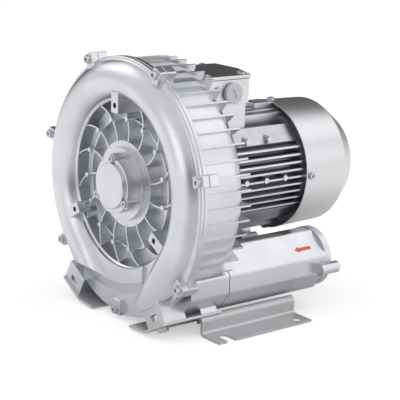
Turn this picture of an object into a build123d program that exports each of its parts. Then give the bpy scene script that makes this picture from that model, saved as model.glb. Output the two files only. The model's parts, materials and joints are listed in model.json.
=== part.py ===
from build123d import *
from math import atan, cos, degrees, radians, sin, sqrt, tan
import os

# Side-channel air blower: cast casing, impeller on the motor shaft, two silencers, two feet.
# Model frame: the shaft is the Y axis and turns in the cover at the front (-Y).
# X points right and Z up, and y = 0 is the front of the lugs that hold the cover's screws.
# The finished pieces are moved so that the floor is z = 0 and the rear foot holes are y = 0.

# Side channel and the casing round it
CHANNEL_INNER_R = 110.0
CHANNEL_WIDTH = 32.5
CHANNEL_OUTER_R = CHANNEL_INNER_R + CHANNEL_WIDTH
CHANNEL_MIDDLE_R = CHANNEL_INNER_R + CHANNEL_WIDTH / 2
CHANNEL_FRONT_DEPTH = CHANNEL_WIDTH / 2 - 0.25
CHANNEL_REAR_DEPTH = CHANNEL_WIDTH / 2
CHANNEL_REAR_Y = 59.0
CHANNEL_START_ANGLE = 241.0
CHANNEL_SWEEP = 274.0
CASING_WALL = 5.0
JOINT_Y = 10.0
RIM_R = CHANNEL_OUTER_R + 11.5
RIM_FRONT_Y = 5.0
RIM_REAR_Y = 15.5
RIM_EDGE = 1.0
JOINT_EDGE = 0.7
APRON_DROP = 11.0
APRON_R = RIM_R - 2.0
COVER_SCREW_COUNT = 7
COVER_SCREW_START = 12.857
COVER_SCREW_LENGTH = 20.0
BOLT_CIRCLE_R = RIM_R + 4.0
LUG_HALF = 7.0
LUG_EDGE_R = 1.5
LUG_FRONT_Y = 0.0
LUG_REAR_Y = 24.0

# Bulge of the cover over the channel, and the plate between its two ends
BULGE_R = CHANNEL_MIDDLE_R + 0.75
BULGE_HALF_WIDTH = CHANNEL_WIDTH / 2 + 6.75
BULGE_HEIGHT = CHANNEL_FRONT_DEPTH - (JOINT_Y - RIM_FRONT_Y) + CASING_WALL
BULGE_FOOT = 2.5
BULGE_FOOT_R = 3.0
BULGE_START_ANGLE = 224.0
BULGE_END_ANGLE = CHANNEL_START_ANGLE - CHANNEL_SWEEP
LEFT_LEG_LENGTH = 76.0
RIGHT_LEG_LENGTH = 84.0
NOSE_Z = -(RIM_R - 28.0)
NOSE_TILT = 35.0
PLATE_FRONT_Y = 1.5
PLATE_BASE_R = RIM_R + 21.0
PLATE_TOP_R = RIM_R + 8.0
PLATE_X = -21.4
PLATE_Z = 37.0
PLATE_LEFT_X = -80.0
PLATE_RIGHT_X = 50.0
PLATE_UPPER_Z = -RIM_R / 3

# Dish of the cover, its ribs and the three mounting lugs
DISH_R = CHANNEL_INNER_R - 9.0
DISH_EDGE_Y = 7.0
DISH_LIP = 2.0
DISH_FLOOR_Y = 22.0
DISH_FLOOR_THICK = 5.0
DISH_DRAFT = 3.0
RIB_COUNT = 15
RIB_THICK = 2.0
RIB_START_ANGLE = 12.4
RIB_FRONT_Y = 8.5
RIB_SWIRL = 13.8
RIB_PIN_R = 3.0
RIB_PIN_CIRCLE_R = DISH_R - 21.0
RIB_PIN_SWIRL = 3.0
RIB_PIN_FRONT_Y = 6.5
RIB_RING_FRONT_Y = 14.5
INNER_LUG_ANGLES = (90.0, 210.0, 330.0)
INNER_LUG_WIDTH = 14.0
INNER_LUG_INNER_R = DISH_R - 13.0
INNER_LUG_OUTER_R = DISH_R + 12.0
INNER_LUG_FRONT_Y = -8.0
INNER_LUG_HOLE_CIRCLE_R = DISH_R - 4.0
INNER_LUG_HOLE_R = 3.4
INNER_LUG_HOLE_DEPTH = 22.0

# Hub of the cover and the bearing cap
COLLAR_R = 52.7
COLLAR_Y = 9.0
HUB_STEP_R = 44.5
HUB_STEP_Y = 3.0
HUB_R = 34.0
HUB_FRONT_Y = -7.0
CAP_FLANGE_THICK = 3.0
CAP_DISC_R = 28.0
CAP_DISC_THICK = 4.0
CAP_SCREW_CIRCLE_R = 33.0
CAP_LOBE_R = 6.5
CAP_EDGE_R = 1.5
CAP_SCREW_DEPTH = 9.0

# Rear casing
REAR_WALL_Y = 38.0
REAR_WALL_THICK = 5.0
REAR_RECESS_R = CHANNEL_INNER_R - 11.0
FIN_COUNT = 52
FIN_THICK = 2.4
FIN_OUTER_R = RIM_R - 3.0
FIN_INNER_R = CHANNEL_MIDDLE_R
FIN_TIP_Y = 81.0
FIN_GAP_FROM = 208.0
FIN_GAP_TO = 318.0
MOTOR_FLANGE_Y = 70.0
MOTOR_FLANGE_R = 76.0
MOTOR_SPIGOT_R = 58.0
GUSSET_COUNT = 8
GUSSET_THICK = 6.0
SEAL_HUB_R = 30.0
SEAL_HUB_Y = 54.0
SEAL_SEAT_R = 22.0
SEAL_LIP = 4.0
SEAL_WIDTH = 7.0
SEAL_RUN = 0.06
SHAFT_GAP = 2.0
CORNER_SCREW_R = 68.0
MOTOR_SCREW_DEPTH = 14.0
PORT_BOX_FRONT_Y = 24.0
PORT_BOX_REAR_Y = 81.0

# Feet and foot pattern
AXIS_HEIGHT = RIM_R + 16.0
FOOT_HOLE_SPACING = 260.0
FOOT_HOLE_PITCH_Y = 115.0
FOOT_HOLE_Y = 183.0
FOOT_HOLE_R = 6.5
FOOT_SLOT_WIDTH = 13.0
FOOT_SHEET = 3.0
FOOT_HOLE_X = FOOT_HOLE_SPACING / 2
FOOT_OUTER_X = FOOT_HOLE_X + 12.0
FOOT_WEB_X = FOOT_HOLE_X - 22.5
FOOT_TOP_Z = -(RIM_R - 10.0)
FOOT_KNEE_X = FOOT_WEB_X - 36.0
FOOT_INNER_X = FOOT_KNEE_X - 31.5
FOOT_KNEE_Z = FOOT_TOP_Z - 20.0
FOOT_BEND_R = 5.0
FOOT_REAR_Y = FOOT_HOLE_Y + 14.0
FOOT_REAR_START_Y = 49.0
FOOT_FRONT_Y = -8.5
FOOT_TONGUE_REAR_Y = 80.0
FOOT_STRIP_X = FOOT_WEB_X - 10.5
FOOT_INNER_DROP = 2.5
FOOT_SLOT_REACH = 3.0
FOOT_SCREW_YS = (2.0, 61.0)
FOOT_SCREW_X = FOOT_WEB_X - 15.5
FOOT_LUG_WIDTH = 36.0
FOOT_LUG_HEIGHT = 27.0
FOOT_LUG_FRONT_Y = -6.0
FOOT_LUG_REAR_Y = 26.0
FOOT_REAR_LUG_HALF = 12.0
NUT_POCKET_WIDTH = 13.6
NUT_POCKET_BASE = 6.0
NUT_POCKET_HEIGHT = 7.5

# Silencers and ports
SILENCER_X = 79.0
SILENCER_Z = -(CHANNEL_OUTER_R - 35.0)
SILENCER_HALF_WIDTH = 39.0
SILENCER_TOP = 37.5
SILENCER_BOTTOM = 37.5
SILENCER_SIDE_TOP = 11.5
SILENCER_SIDE_BOTTOM = 11.5
SILENCER_TOP_FLAT = 8.0
SILENCER_BOTTOM_FLAT = 18.0
SILENCER_EDGE_R = 5.0
SILENCER_WALL = 3.5
SILENCER_REAR_Y = 232.0
SILENCER_GASKET = 1.0
GASKET_INSET = 0.5
SILENCER_FRONT_WALL = 4.0
SILENCER_SCREW_X = 28.0
SILENCER_SCREW_DEPTH = 12.0
FOAM_CLEARANCE = 0.3
TUBE_R = 20.0
TUBE_WALL = 1.2
PORT_R = 22.4
PORT_FLANGE_R = SILENCER_HALF_WIDTH - 0.5
PORT_FLANGE_THICK = 8.0
PORT_BOSS_R = 30.0
PORT_BOSS_Y = 252.0
PORT_STEP = 9.5
PORT_LUG_R = 7.5
PORT_LUG_X = SILENCER_HALF_WIDTH + 6.0
PORT_LUG_DROP = 4.0
PORT_LUG_LENGTH = 20.0
PORT_BOSS_LENGTH = 9.0
FLANGE_SCREW_LENGTH = PORT_LUG_LENGTH + PORT_BOSS_LENGTH - 3.0

# Shaft, bearings and impeller
SHAFT_R = 12.5
SHAFT_FRONT_Y = -4.0
SHAFT_REAR_Y = 296.0
SHAFT_SHOULDER_R = 15.0
SHAFT_REAR_R = 10.0
SHAFT_FAN_R = 9.0
BEARING_CLEARANCE = 0.03
FRONT_BEARING_Y = -1.0
FRONT_BEARING_WIDTH = 15.0
FRONT_BEARING_R = 26.0
FRONT_BALL_R = 3.9
FRONT_BALLS = 9
REAR_BEARING_Y = 236.0
REAR_BEARING_WIDTH = 14.0
REAR_BEARING_R = 23.5
REAR_BALL_R = 3.5
REAR_BALLS = 8
RACE_THICK = 4.2
GROOVE_CLEARANCE = 0.3
CAGE_CLEARANCE = 0.15
CAGE_THICK = 1.8
CAGE_EDGE = 0.8
WASHER_THICK = 1.5
CIRCLIP_THICK = 1.5
CIRCLIP_DEPTH = 0.8
CIRCLIP_RISE = 3.0
CIRCLIP_GAP = 6.0
IMPELLER_GAP = 1.0
IMPELLER_FRONT_Y = 12.0
IMPELLER_REAR_Y = 57.5
IMPELLER_RIM_INNER_R = CHANNEL_INNER_R - 4.0
IMPELLER_WEB_Y = 29.0
IMPELLER_WEB_THICK = 5.0
IMPELLER_HUB_R = 24.0
IMPELLER_HUB_FRONT_Y = 28.5
IMPELLER_HUB_REAR_Y = 37.0
IMPELLER_BLADES = 46
IMPELLER_BLADE_THICK = 2.6
IMPELLER_RIM_THICK = 3.0
IMPELLER_HOLES = 6
IMPELLER_HOLE_R = 11.0
IMPELLER_HOLE_CIRCLE_R = 62.0
KEY_WIDTH = 8.0
KEY_SINK = 4.0
KEY_RISE = 3.0

# Motor
MOTOR_REAR_Y = 232.0
MOTOR_CORE_R = 66.0
MOTOR_BORE_R = 60.5
MOTOR_FIN_R = 79.0
MOTOR_FIN_PITCH = 9.2
MOTOR_FIN_THICK = 2.4
MOTOR_SIDE_FINS = 9
MOTOR_TOP_FINS = 7
MOTOR_CORNER_HALF = 13.0
MOTOR_CORNER_R = 74.0
MOTOR_RING = 8.0
STATOR_FRONT_Y = 104.0
STATOR_REAR_Y = 196.0
STATOR_BORE_R = 34.5
ROTOR_GAP = 0.6
WINDING_OVERHANG = 20.0
WINDING_OUTER_R = 56.0
WINDING_INNER_R = 38.0
ENDSHIELD_THICK = 10.0
ENDSHIELD_HUB_R = 31.0
STATOR_CLEARANCE = 0.1
WINDING_EDGE_R = 6.0
END_RING = 12.0
END_RING_THICK = 9.0
END_RING_STEP = 1.0
SPIGOT = 6.0
SPIGOT_WALL = 8.0
SHIELD_SCREW_DEPTH = 12.0
POST_R = 3.6
POST_Z = 1.0
POST_YS = (135.0, 167.0, 198.0)
POST_END_X = 80.0
CORNER_POST_YS = (148.0, 183.0)
CORNER_POST_END_X = 64.0
CORNER_POST_Z = 49.0
EYE_PAD_HALF = 12.0
EYE_PAD_FRONT_Y = 200.0
EYE_PAD_TOP_Z = 84.5
EYE_HOLE_Y = 214.0
EYE_HOLE_R = 6.5
EYE_HOLE_DEPTH = 12.0

# Fan and cowl
COWL_FRONT_Y = 230.0
COWL_FRONT_R = 84.5
COWL_SHOULDER_Y = 300.0
COWL_SHOULDER_R = 82.5
COWL_REAR_Y = 330.0
COWL_REAR_R = 62.0
COWL_SHEET = 1.5
COWL_EDGE_R = 3.0
COWL_SCREWS = 4
COWL_SCREW_Y = 238.0
COWL_SCREW_DEPTH = 9.0
COWL_FIT = 0.6
COWL_ARM_HALF = 6.0
GRILLE_RINGS = 5
GRILLE_START_R = 12.0
GRILLE_SECTORS = 6
GRILLE_BAR = 3.5
GRILLE_SLOT = 5.5
FAN_FRONT_Y = 262.0
FAN_R = 66.0
FAN_DISC_THICK = 3.0
FAN_BLADE_HEIGHT = 26.0
FAN_BLADES = 8
FAN_HUB_R = 16.0
FAN_HUB_REAR_Y = 290.0
FAN_BLADE_THICK = 2.5

# Terminal box on top of the motor
BOX_HALF_WIDTH = 46.0
BOX_FRONT_Y = 90.0
BOX_REAR_Y = 160.0
BOX_BOTTOM_Z = 94.3
BOX_TOP_Z = 124.4
BOX_WALL = 3.0
LID_GASKET = 1.0
LID_BAND = 4.0
LID_OVERHANG = 1.5
LID_TOP_Z = 133.8
LID_FLAT_HALF = 22.0
LID_END_INSET = 1.0
LID_WELL_R = 7.0
LID_PILLAR_R = 5.0
LID_SCREW_INSET = 6.5
LID_SCREW_DEPTH = 10.0
WIRE_HOLE_R = 14.0
TERMINAL_HALF_X = 24.0
TERMINAL_HALF_Y = 17.0
TERMINAL_HEIGHT = 10.0
STUD_PITCH = 15.0
STUD_RISE = 10.0
STUD_SINK = 4.0
EARTH_Y = 111.0
EARTH_Z = 113.8
NECK_HALF_WIDTH = BOX_HALF_WIDTH - 5.0
NECK_FRONT_Y = 97.0
NECK_REAR_Y = BOX_REAR_Y
PLUG_Y = 133.0
PLUG_Z = 108.0
PLUG_HEAD_R = 13.0
PLUG_HEAD_THICK = 5.0
PLUG_THREAD_R = 10.0
THREAD_END = 4.0
PLUG_SLOT_WIDTH = 2.4
PLUG_SLOT_DEPTH = 1.5
PLUG_EDGE_R = 1.2
PLUG_SLOT_LENGTH = 12.0
PLUG_SLOT_ANGLE = 25.0
SEAL_RING = 1.0
GLAND_BORE_R = 5.5
GLAND_R = 13.0
GLAND_HEX = 6.0
GLAND_NECK = 8.0
GLAND_DOME = 6.0
GLAND_EDGE_R = 4.0

# Small fasteners
M6_R = 3.0
M6_HEAD_R = 5.0
M6_HEAD = 4.5
M5_R = 2.5
M5_HEAD_R = 4.3
M5_HEAD = 3.2
M4_R = 2.0
M4_HEAD_R = 3.5
M4_HEAD = 2.6
M8_R = 4.0
M8_HEAD_R = 7.0
M8_HEAD = 5.3
M8_NUT_R = 7.5
M8_NUT_THICK = 6.5
SCREW_CLEARANCE = 0.1
SOCKET_SHARE = 0.5
SOCKET_DEPTH_SHARE = 0.6
HEAD_CLEARANCE = 0.5
TIP_CLEARANCE = 1.0

PLACE = Pos(0, -FOOT_HOLE_Y, AXIS_HEIGHT)


# Helpers that place sketches and solids round the shaft

def turned(*points, arc=360.0):
    """Turn a closed (radius, y) outline about the shaft."""
    return revolve(make_face(Polyline(*points, close=True)), Axis.Y, revolution_arc=arc)


def slab(sketch, y_from, y_to):
    """Extrude a front-view (x, z) sketch from y_from back to y_to."""
    plane = Plane(origin=(0, y_to, 0), x_dir=(1, 0, 0), z_dir=(0, -1, 0))
    return extrude(plane * sketch, amount=y_to - y_from)


def rod(radius, y_from, y_to, x=0.0, z=0.0):
    """A cylinder along Y."""
    return slab(Pos(x, z) * Circle(radius), y_from, y_to)


def tube(outer_r, inner_r, y_from, y_to):
    """A ring round the shaft."""
    return turned((inner_r, y_from), (outer_r, y_from), (outer_r, y_to), (inner_r, y_to))


def block(x_from, x_to, y_from, y_to, z_from, z_to):
    """A box between six faces."""
    centre = Pos((x_from + x_to) / 2, (y_from + y_to) / 2, (z_from + z_to) / 2)
    return centre * Box(x_to - x_from, y_to - y_from, z_to - z_from)


def at_angle(angle, shape):
    """Turn a shape about the shaft, anticlockwise in the front view."""
    return Rot(0, -angle, 0) * shape


def polar(radius, angle):
    """A front-view point (x, z) at a radius and an angle."""
    return radius * cos(radians(angle)), radius * sin(radians(angle))


def mirrored(shape):
    """The left-hand twin of a right-hand piece."""
    return mirror(shape, about=Plane.YZ)


def screw(radius, head_r, head, length):
    """A socket screw along +Y: its head ends at y = 0 and its shank runs on behind."""
    body = rod(head_r, -head, 0) + rod(radius, 0, length)
    return body - slab(RegularPolygon(head_r * SOCKET_SHARE, 6), -head, -head * (1 - SOCKET_DEPTH_SHARE))


def save(name, *solids):
    """Write one named piece, or a group of like pieces, in its place above the floor."""
    placed = [PLACE * solid for solid in solids]
    whole = placed[0] if len(placed) == 1 else Compound(children=placed)
    whole.label = name
    export_step(whole, f"parts/{name}.step")


# Positions shared by mating pieces

def cover_screw_angles():
    return [COVER_SCREW_START + 360.0 * k / COVER_SCREW_COUNT for k in range(COVER_SCREW_COUNT)]


def silencer_outline(inset=0.0):
    """Front-view outline of the right silencer, shrunk by an inset."""
    half = SILENCER_HALF_WIDTH
    points = [
        (half, SILENCER_SIDE_TOP), (SILENCER_TOP_FLAT, SILENCER_TOP),
        (-SILENCER_TOP_FLAT, SILENCER_TOP), (-half, SILENCER_SIDE_TOP),
        (-half, -SILENCER_SIDE_BOTTOM), (-SILENCER_BOTTOM_FLAT, -SILENCER_BOTTOM),
        (SILENCER_BOTTOM_FLAT, -SILENCER_BOTTOM), (half, -SILENCER_SIDE_BOTTOM),
    ]
    face = make_face(Polyline(*points, close=True))
    face = fillet(face.vertices(), SILENCER_EDGE_R)
    if inset > 0.0:
        face = offset(face, amount=-inset)
    return Pos(SILENCER_X, SILENCER_Z) * face


def foot_tilt():
    """Slope, in degrees, of the foot's strip under the casing lugs."""
    return degrees(atan((FOOT_TOP_Z - FOOT_KNEE_Z) / (FOOT_WEB_X - FOOT_KNEE_X)))


def on_foot(shape, y=0.0):
    """Stand a shape on the foot's sloping strip, where its screws go through."""
    run = FOOT_WEB_X - FOOT_SCREW_X
    middle = FOOT_TOP_Z - run * (FOOT_TOP_Z - FOOT_KNEE_Z) / (FOOT_WEB_X - FOOT_KNEE_X)
    return Pos(FOOT_SCREW_X, y, middle) * Rot(0, -foot_tilt(), 0) * Pos(0, 0, FOOT_SHEET / 2) * shape


# Casing cover

def channel_section(depth_sign, plane_y, depth):
    """Half-round section of the side channel, on one side of a plane across the shaft."""
    tip = (CHANNEL_MIDDLE_R, plane_y + depth_sign * depth)
    arc = ThreePointArc((CHANNEL_OUTER_R, plane_y), tip, (CHANNEL_INNER_R, plane_y))
    return make_face(arc + Line((CHANNEL_INNER_R, plane_y), (CHANNEL_OUTER_R, plane_y)))


def bulge_section():
    """Half-round section of the cover's bulge, with a hollow round outer foot on the rim."""
    outer = (BULGE_R + BULGE_HALF_WIDTH, RIM_FRONT_Y)
    inner = (BULGE_R - BULGE_HALF_WIDTH, RIM_FRONT_Y)
    foot = (outer[0] + BULGE_FOOT, RIM_FRONT_Y)
    back_foot = (foot[0], JOINT_Y)
    back_inner = (inner[0], JOINT_Y)
    arc = ThreePointArc(outer, (BULGE_R, RIM_FRONT_Y - BULGE_HEIGHT), inner)
    section = make_face(arc + Polyline(inner, back_inner, back_foot, foot, outer))
    corner = section.vertices().sort_by_distance(outer)[0]
    return fillet(corner, BULGE_FOOT_R)


def bulge():
    """The ring-shaped bulge and its two straight legs; the left one ends in a sloping nose."""
    section = bulge_section()
    inside = rod(RIM_R, RIM_FRONT_Y - BULGE_HEIGHT - 1.0, JOINT_Y)
    sweep = BULGE_START_ANGLE - BULGE_END_ANGLE
    ring = at_angle(BULGE_START_ANGLE, revolve(section, Axis.Y, revolution_arc=sweep))
    left_leg = at_angle(BULGE_START_ANGLE, extrude(section, amount=LEFT_LEG_LENGTH))
    above_nose = block(-2 * RIM_R, 0, -RIM_R, RIM_R, 0, 2 * RIM_R)
    left_leg = left_leg & Pos(0, RIM_FRONT_Y, NOSE_Z) * Rot(-NOSE_TILT, 0, 0) * above_nose
    right_leg = at_angle(BULGE_END_ANGLE, extrude(section, amount=-RIGHT_LEG_LENGTH))
    return [ring, left_leg & inside, right_leg & inside]


def stripper_plate():
    """Raised plate between the two legs, with a sloping edge towards the rim."""
    height = JOINT_Y - PLATE_FRONT_Y
    slope = (PLATE_BASE_R - PLATE_TOP_R) / (RIM_FRONT_Y - PLATE_FRONT_Y)
    back_r = PLATE_BASE_R + slope * (JOINT_Y - RIM_FRONT_Y)
    cone = turned((0, PLATE_FRONT_Y), (PLATE_TOP_R, PLATE_FRONT_Y), (back_r, PLATE_FRONT_Y + height),
                  (0, PLATE_FRONT_Y + height))
    cone = Pos(PLATE_X, 0, PLATE_Z) * cone
    inside = tube(RIM_R, DISH_R + DISH_LIP, PLATE_FRONT_Y - 1.0, JOINT_Y)
    window = block(PLATE_LEFT_X, PLATE_RIGHT_X, PLATE_FRONT_Y - 1.0, JOINT_Y, -RIM_R, PLATE_UPPER_Z)
    return cone & inside & window


def apron(y_from, y_to):
    """Lower edge of the flange, which reaches a little below the round rim."""
    return slab(Pos(0, -APRON_DROP) * Circle(APRON_R) - Circle(RIM_R - CASING_WALL), y_from, y_to)


def dish_rib():
    """One curved rib of the dish, at angle zero, with its round pin."""
    pin = polar(RIB_PIN_CIRCLE_R, RIB_PIN_SWIRL)
    path = ThreePointArc(polar(COLLAR_R - 2.0, 0.0), pin, polar(DISH_R + 1.0, RIB_SWIRL))
    rib = slab(trace(path, line_width=RIB_THICK), RIB_FRONT_Y, DISH_FLOOR_Y + 1.0)
    return rib + rod(RIB_PIN_R, RIB_PIN_FRONT_Y, DISH_FLOOR_Y + 1.0, *pin)


def lobed_hub(y_from, y_to):
    """Round hub outline with three lobes for the cap screws."""
    outline = Circle(HUB_R)
    for angle in INNER_LUG_ANGLES:
        outline += Pos(*polar(CAP_SCREW_CIRCLE_R, angle)) * Circle(CAP_LOBE_R)
    return slab(outline, y_from, y_to)


def foot_lug(y_from, y_to):
    """Block at the right that stands on the foot, with a pocket for the screw's nut."""
    half = FOOT_LUG_WIDTH / 2
    return on_foot(block(-half, half, y_from, y_to, 0, FOOT_LUG_HEIGHT))


def foot_lug_cuts(y_screw, y_from, y_to):
    """Screw hole and nut pocket of a foot lug; the pocket is open from y_from to y_to."""
    half = NUT_POCKET_WIDTH / 2
    pocket = block(-half, half, y_from, y_to, NUT_POCKET_BASE, NUT_POCKET_BASE + NUT_POCKET_HEIGHT)
    hole = Pos(0, y_screw, NUT_POCKET_BASE / 2) * Cylinder(M8_R + SCREW_CLEARANCE, NUT_POCKET_BASE + 2.0)
    return on_foot(pocket + hole)


def front_cover():
    floor_rear = DISH_FLOOR_Y + DISH_FLOOR_THICK
    dish_back_r = IMPELLER_RIM_INNER_R - IMPELLER_GAP
    body = turned(
        (SEAL_SEAT_R, HUB_FRONT_Y), (HUB_R, HUB_FRONT_Y), (HUB_R, HUB_STEP_Y),
        (HUB_STEP_R, HUB_STEP_Y), (HUB_STEP_R, COLLAR_Y), (COLLAR_R, COLLAR_Y),
        (COLLAR_R, DISH_FLOOR_Y), (DISH_R - DISH_DRAFT, DISH_FLOOR_Y), (DISH_R, DISH_EDGE_Y),
        (DISH_R + DISH_LIP, RIM_FRONT_Y), (RIM_R - RIM_EDGE, RIM_FRONT_Y),
        (RIM_R, RIM_FRONT_Y + RIM_EDGE), (RIM_R, JOINT_Y - JOINT_EDGE), (RIM_R - JOINT_EDGE, JOINT_Y),
        (dish_back_r, JOINT_Y), (dish_back_r, floor_rear), (SEAL_SEAT_R, floor_rear),
    )
    ring_r = RIB_PIN_CIRCLE_R + RIB_THICK / 2
    added = bulge() + [stripper_plate(), apron(RIM_FRONT_Y, JOINT_Y)]
    added.append(lobed_hub(HUB_FRONT_Y, HUB_STEP_Y + 2.0))
    added.append(tube(ring_r, ring_r - RIB_THICK, RIB_RING_FRONT_Y, DISH_FLOOR_Y + 1.0))
    rib = dish_rib()
    added += [at_angle(RIB_START_ANGLE + 360.0 * k / RIB_COUNT, rib) for k in range(RIB_COUNT)]
    inner_lug = block(INNER_LUG_INNER_R, INNER_LUG_OUTER_R, INNER_LUG_FRONT_Y, DISH_FLOOR_Y + 1.0,
                      -INNER_LUG_WIDTH / 2, INNER_LUG_WIDTH / 2)
    added += [at_angle(angle, inner_lug) for angle in INNER_LUG_ANGLES]
    added += screw_lugs(LUG_FRONT_Y, JOINT_Y)
    foot_block = foot_lug(FOOT_LUG_FRONT_Y, JOINT_Y)
    added += [foot_block, mirrored(foot_block)]
    body += added
    return body - cover_cuts()


def screw_lugs(y_from, y_to):
    """Square lugs for the cover screws, outside the rim."""
    inner_r = CHANNEL_OUTER_R + CASING_WALL / 2
    lug = block(inner_r, BOLT_CIRCLE_R + LUG_HALF, y_from, y_to, -LUG_HALF, LUG_HALF)
    lug = fillet(lug.edges().filter_by(Axis.Y).group_by(Axis.X)[-1], LUG_EDGE_R)
    lug = chamfer(lug.edges().group_by(Axis.Y)[0] + lug.edges().group_by(Axis.Y)[-1], JOINT_EDGE)
    return [at_angle(angle, lug) for angle in cover_screw_angles()]


def cover_cuts():
    """Side channel, impeller space, bearing seat, screw holes and nut pockets of the cover."""
    section = channel_section(-1, JOINT_Y, CHANNEL_FRONT_DEPTH)
    ring = revolve(section, Axis.Y, revolution_arc=CHANNEL_SWEEP)
    cuts = [at_angle(CHANNEL_START_ANGLE, ring)]
    dish_back_r = IMPELLER_RIM_INNER_R - IMPELLER_GAP
    cuts.append(tube(RIM_R, dish_back_r, JOINT_Y, DISH_FLOOR_Y + DISH_FLOOR_THICK))
    cuts.append(rod(FRONT_BEARING_R, HUB_FRONT_Y - 1.0, FRONT_BEARING_Y + FRONT_BEARING_WIDTH))
    for angle in cover_screw_angles():
        place = polar(BOLT_CIRCLE_R, angle)
        cuts.append(rod(M6_R + SCREW_CLEARANCE, LUG_FRONT_Y - 1.0, JOINT_Y + 1.0, *place))
    for angle in INNER_LUG_ANGLES:
        place = polar(INNER_LUG_HOLE_CIRCLE_R, angle)
        hole_end = INNER_LUG_FRONT_Y + INNER_LUG_HOLE_DEPTH
        cuts.append(rod(INNER_LUG_HOLE_R, INNER_LUG_FRONT_Y - 1.0, hole_end, *place))
        place = polar(CAP_SCREW_CIRCLE_R, angle)
        cuts.append(rod(M5_R + SCREW_CLEARANCE, HUB_FRONT_Y - 1.0, HUB_FRONT_Y + CAP_SCREW_DEPTH, *place))
    pocket_end = FOOT_SCREW_YS[0] + M8_NUT_R + SCREW_CLEARANCE
    pocket = foot_lug_cuts(FOOT_SCREW_YS[0], FOOT_LUG_FRONT_Y - 1.0, pocket_end)
    return cuts + [pocket, mirrored(pocket)]


# Bearing cap and the screws of the cover

def bearing_cap():
    """Lobed cap over the front bearing, with a raised disc and a spigot into the seat."""
    front = HUB_FRONT_Y - CAP_FLANGE_THICK
    cap = lobed_hub(front, HUB_FRONT_Y)
    cap += rod(CAP_DISC_R, front - CAP_DISC_THICK, front)
    cap = fillet(cap.edges().group_by(Axis.Y)[0], CAP_EDGE_R)
    spigot_r = FRONT_BEARING_R - BEARING_CLEARANCE
    cap += tube(spigot_r, FRONT_BEARING_R - RACE_THICK, HUB_FRONT_Y, FRONT_BEARING_Y - WASHER_THICK)
    hole = rod(M5_R + SCREW_CLEARANCE, front - 1.0, HUB_FRONT_Y + 1.0, CAP_SCREW_CIRCLE_R)
    return cap - [at_angle(angle, hole) for angle in INNER_LUG_ANGLES]


def bearing_cap_screws():
    one = screw(M5_R, M5_HEAD_R, M5_HEAD, CAP_FLANGE_THICK + CAP_SCREW_DEPTH - TIP_CLEARANCE)
    front = HUB_FRONT_Y - CAP_FLANGE_THICK
    places = [polar(CAP_SCREW_CIRCLE_R, angle) for angle in INNER_LUG_ANGLES]
    return [Pos(x, front, z) * one for x, z in places]


def cover_screws():
    one = screw(M6_R, M6_HEAD_R, M6_HEAD, COVER_SCREW_LENGTH)
    places = [polar(BOLT_CIRCLE_R, angle) for angle in cover_screw_angles()]
    return [Pos(x, LUG_FRONT_Y, z) * one for x, z in places]


# Rear casing

def casing_fins():
    """Cooling fins along the shaft, all round but where the port boxes are."""
    fin = block(FIN_INNER_R, FIN_OUTER_R, RIM_REAR_Y, FIN_TIP_Y, -FIN_THICK / 2, FIN_THICK / 2)
    angles = [(COVER_SCREW_START + 360.0 * k / FIN_COUNT) % 360.0 for k in range(FIN_COUNT)]
    return [at_angle(angle, fin) for angle in angles if not FIN_GAP_FROM < angle < FIN_GAP_TO]


def housing_shell():
    """Turned body of the rear casing: rim, channel wall, rear wall, motor flange and seal hub."""
    outer_r = CHANNEL_OUTER_R + CASING_WALL
    round_r = CHANNEL_REAR_DEPTH + CASING_WALL
    land_y = CHANNEL_REAR_Y + CASING_WALL
    land_r = CHANNEL_MIDDLE_R - sqrt(round_r ** 2 - CASING_WALL ** 2)
    wall_rear = REAR_WALL_Y + REAR_WALL_THICK
    seat_y = REAR_WALL_Y + SEAL_LIP
    bore_r = SHAFT_SHOULDER_R + SHAFT_GAP
    back_r = IMPELLER_RIM_INNER_R - IMPELLER_GAP
    outline = Polyline(
        (land_r, land_y), (REAR_RECESS_R, land_y), (REAR_RECESS_R, wall_rear),
        (MOTOR_FLANGE_R, wall_rear), (MOTOR_FLANGE_R, MOTOR_FLANGE_Y), (MOTOR_SPIGOT_R, MOTOR_FLANGE_Y),
        (MOTOR_SPIGOT_R, wall_rear), (SEAL_HUB_R, wall_rear), (SEAL_HUB_R, SEAL_HUB_Y),
        (SEAL_SEAT_R, SEAL_HUB_Y), (SEAL_SEAT_R, seat_y), (bore_r, seat_y), (bore_r, REAR_WALL_Y),
        (back_r, REAR_WALL_Y), (back_r, CHANNEL_REAR_Y), (CHANNEL_OUTER_R, CHANNEL_REAR_Y),
        (CHANNEL_OUTER_R, JOINT_Y), (RIM_R - JOINT_EDGE, JOINT_Y), (RIM_R, JOINT_Y + JOINT_EDGE),
        (RIM_R, RIM_REAR_Y), (outer_r, RIM_REAR_Y),
        (outer_r, CHANNEL_REAR_Y),
    )
    rear = CHANNEL_REAR_Y + round_r
    arc = ThreePointArc((outer_r, CHANNEL_REAR_Y), (CHANNEL_MIDDLE_R, rear), (land_r, land_y))
    return revolve(make_face(outline + arc), Axis.Y)


def impeller_housing():
    gusset = block(MOTOR_FLANGE_R - 1.0, REAR_RECESS_R + 1.0, REAR_WALL_Y + 1.0,
                   CHANNEL_REAR_Y, -GUSSET_THICK / 2, GUSSET_THICK / 2)
    port_box = slab(silencer_outline(), PORT_BOX_FRONT_Y, PORT_BOX_REAR_Y)
    front_lug = foot_lug(JOINT_Y, FOOT_LUG_REAR_Y)
    rear_lug = foot_lug(FOOT_SCREW_YS[1] - FOOT_REAR_LUG_HALF, FOOT_SCREW_YS[1] + FOOT_REAR_LUG_HALF)
    added = casing_fins() + screw_lugs(JOINT_Y, LUG_REAR_Y) + [apron(JOINT_Y, RIM_REAR_Y)]
    added += [at_angle(360.0 * (k + 0.5) / GUSSET_COUNT, gusset) for k in range(GUSSET_COUNT)]
    for piece in (port_box, front_lug, rear_lug):
        added += [piece, mirrored(piece)]
    return housing_shell() + added - housing_cuts()


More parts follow.
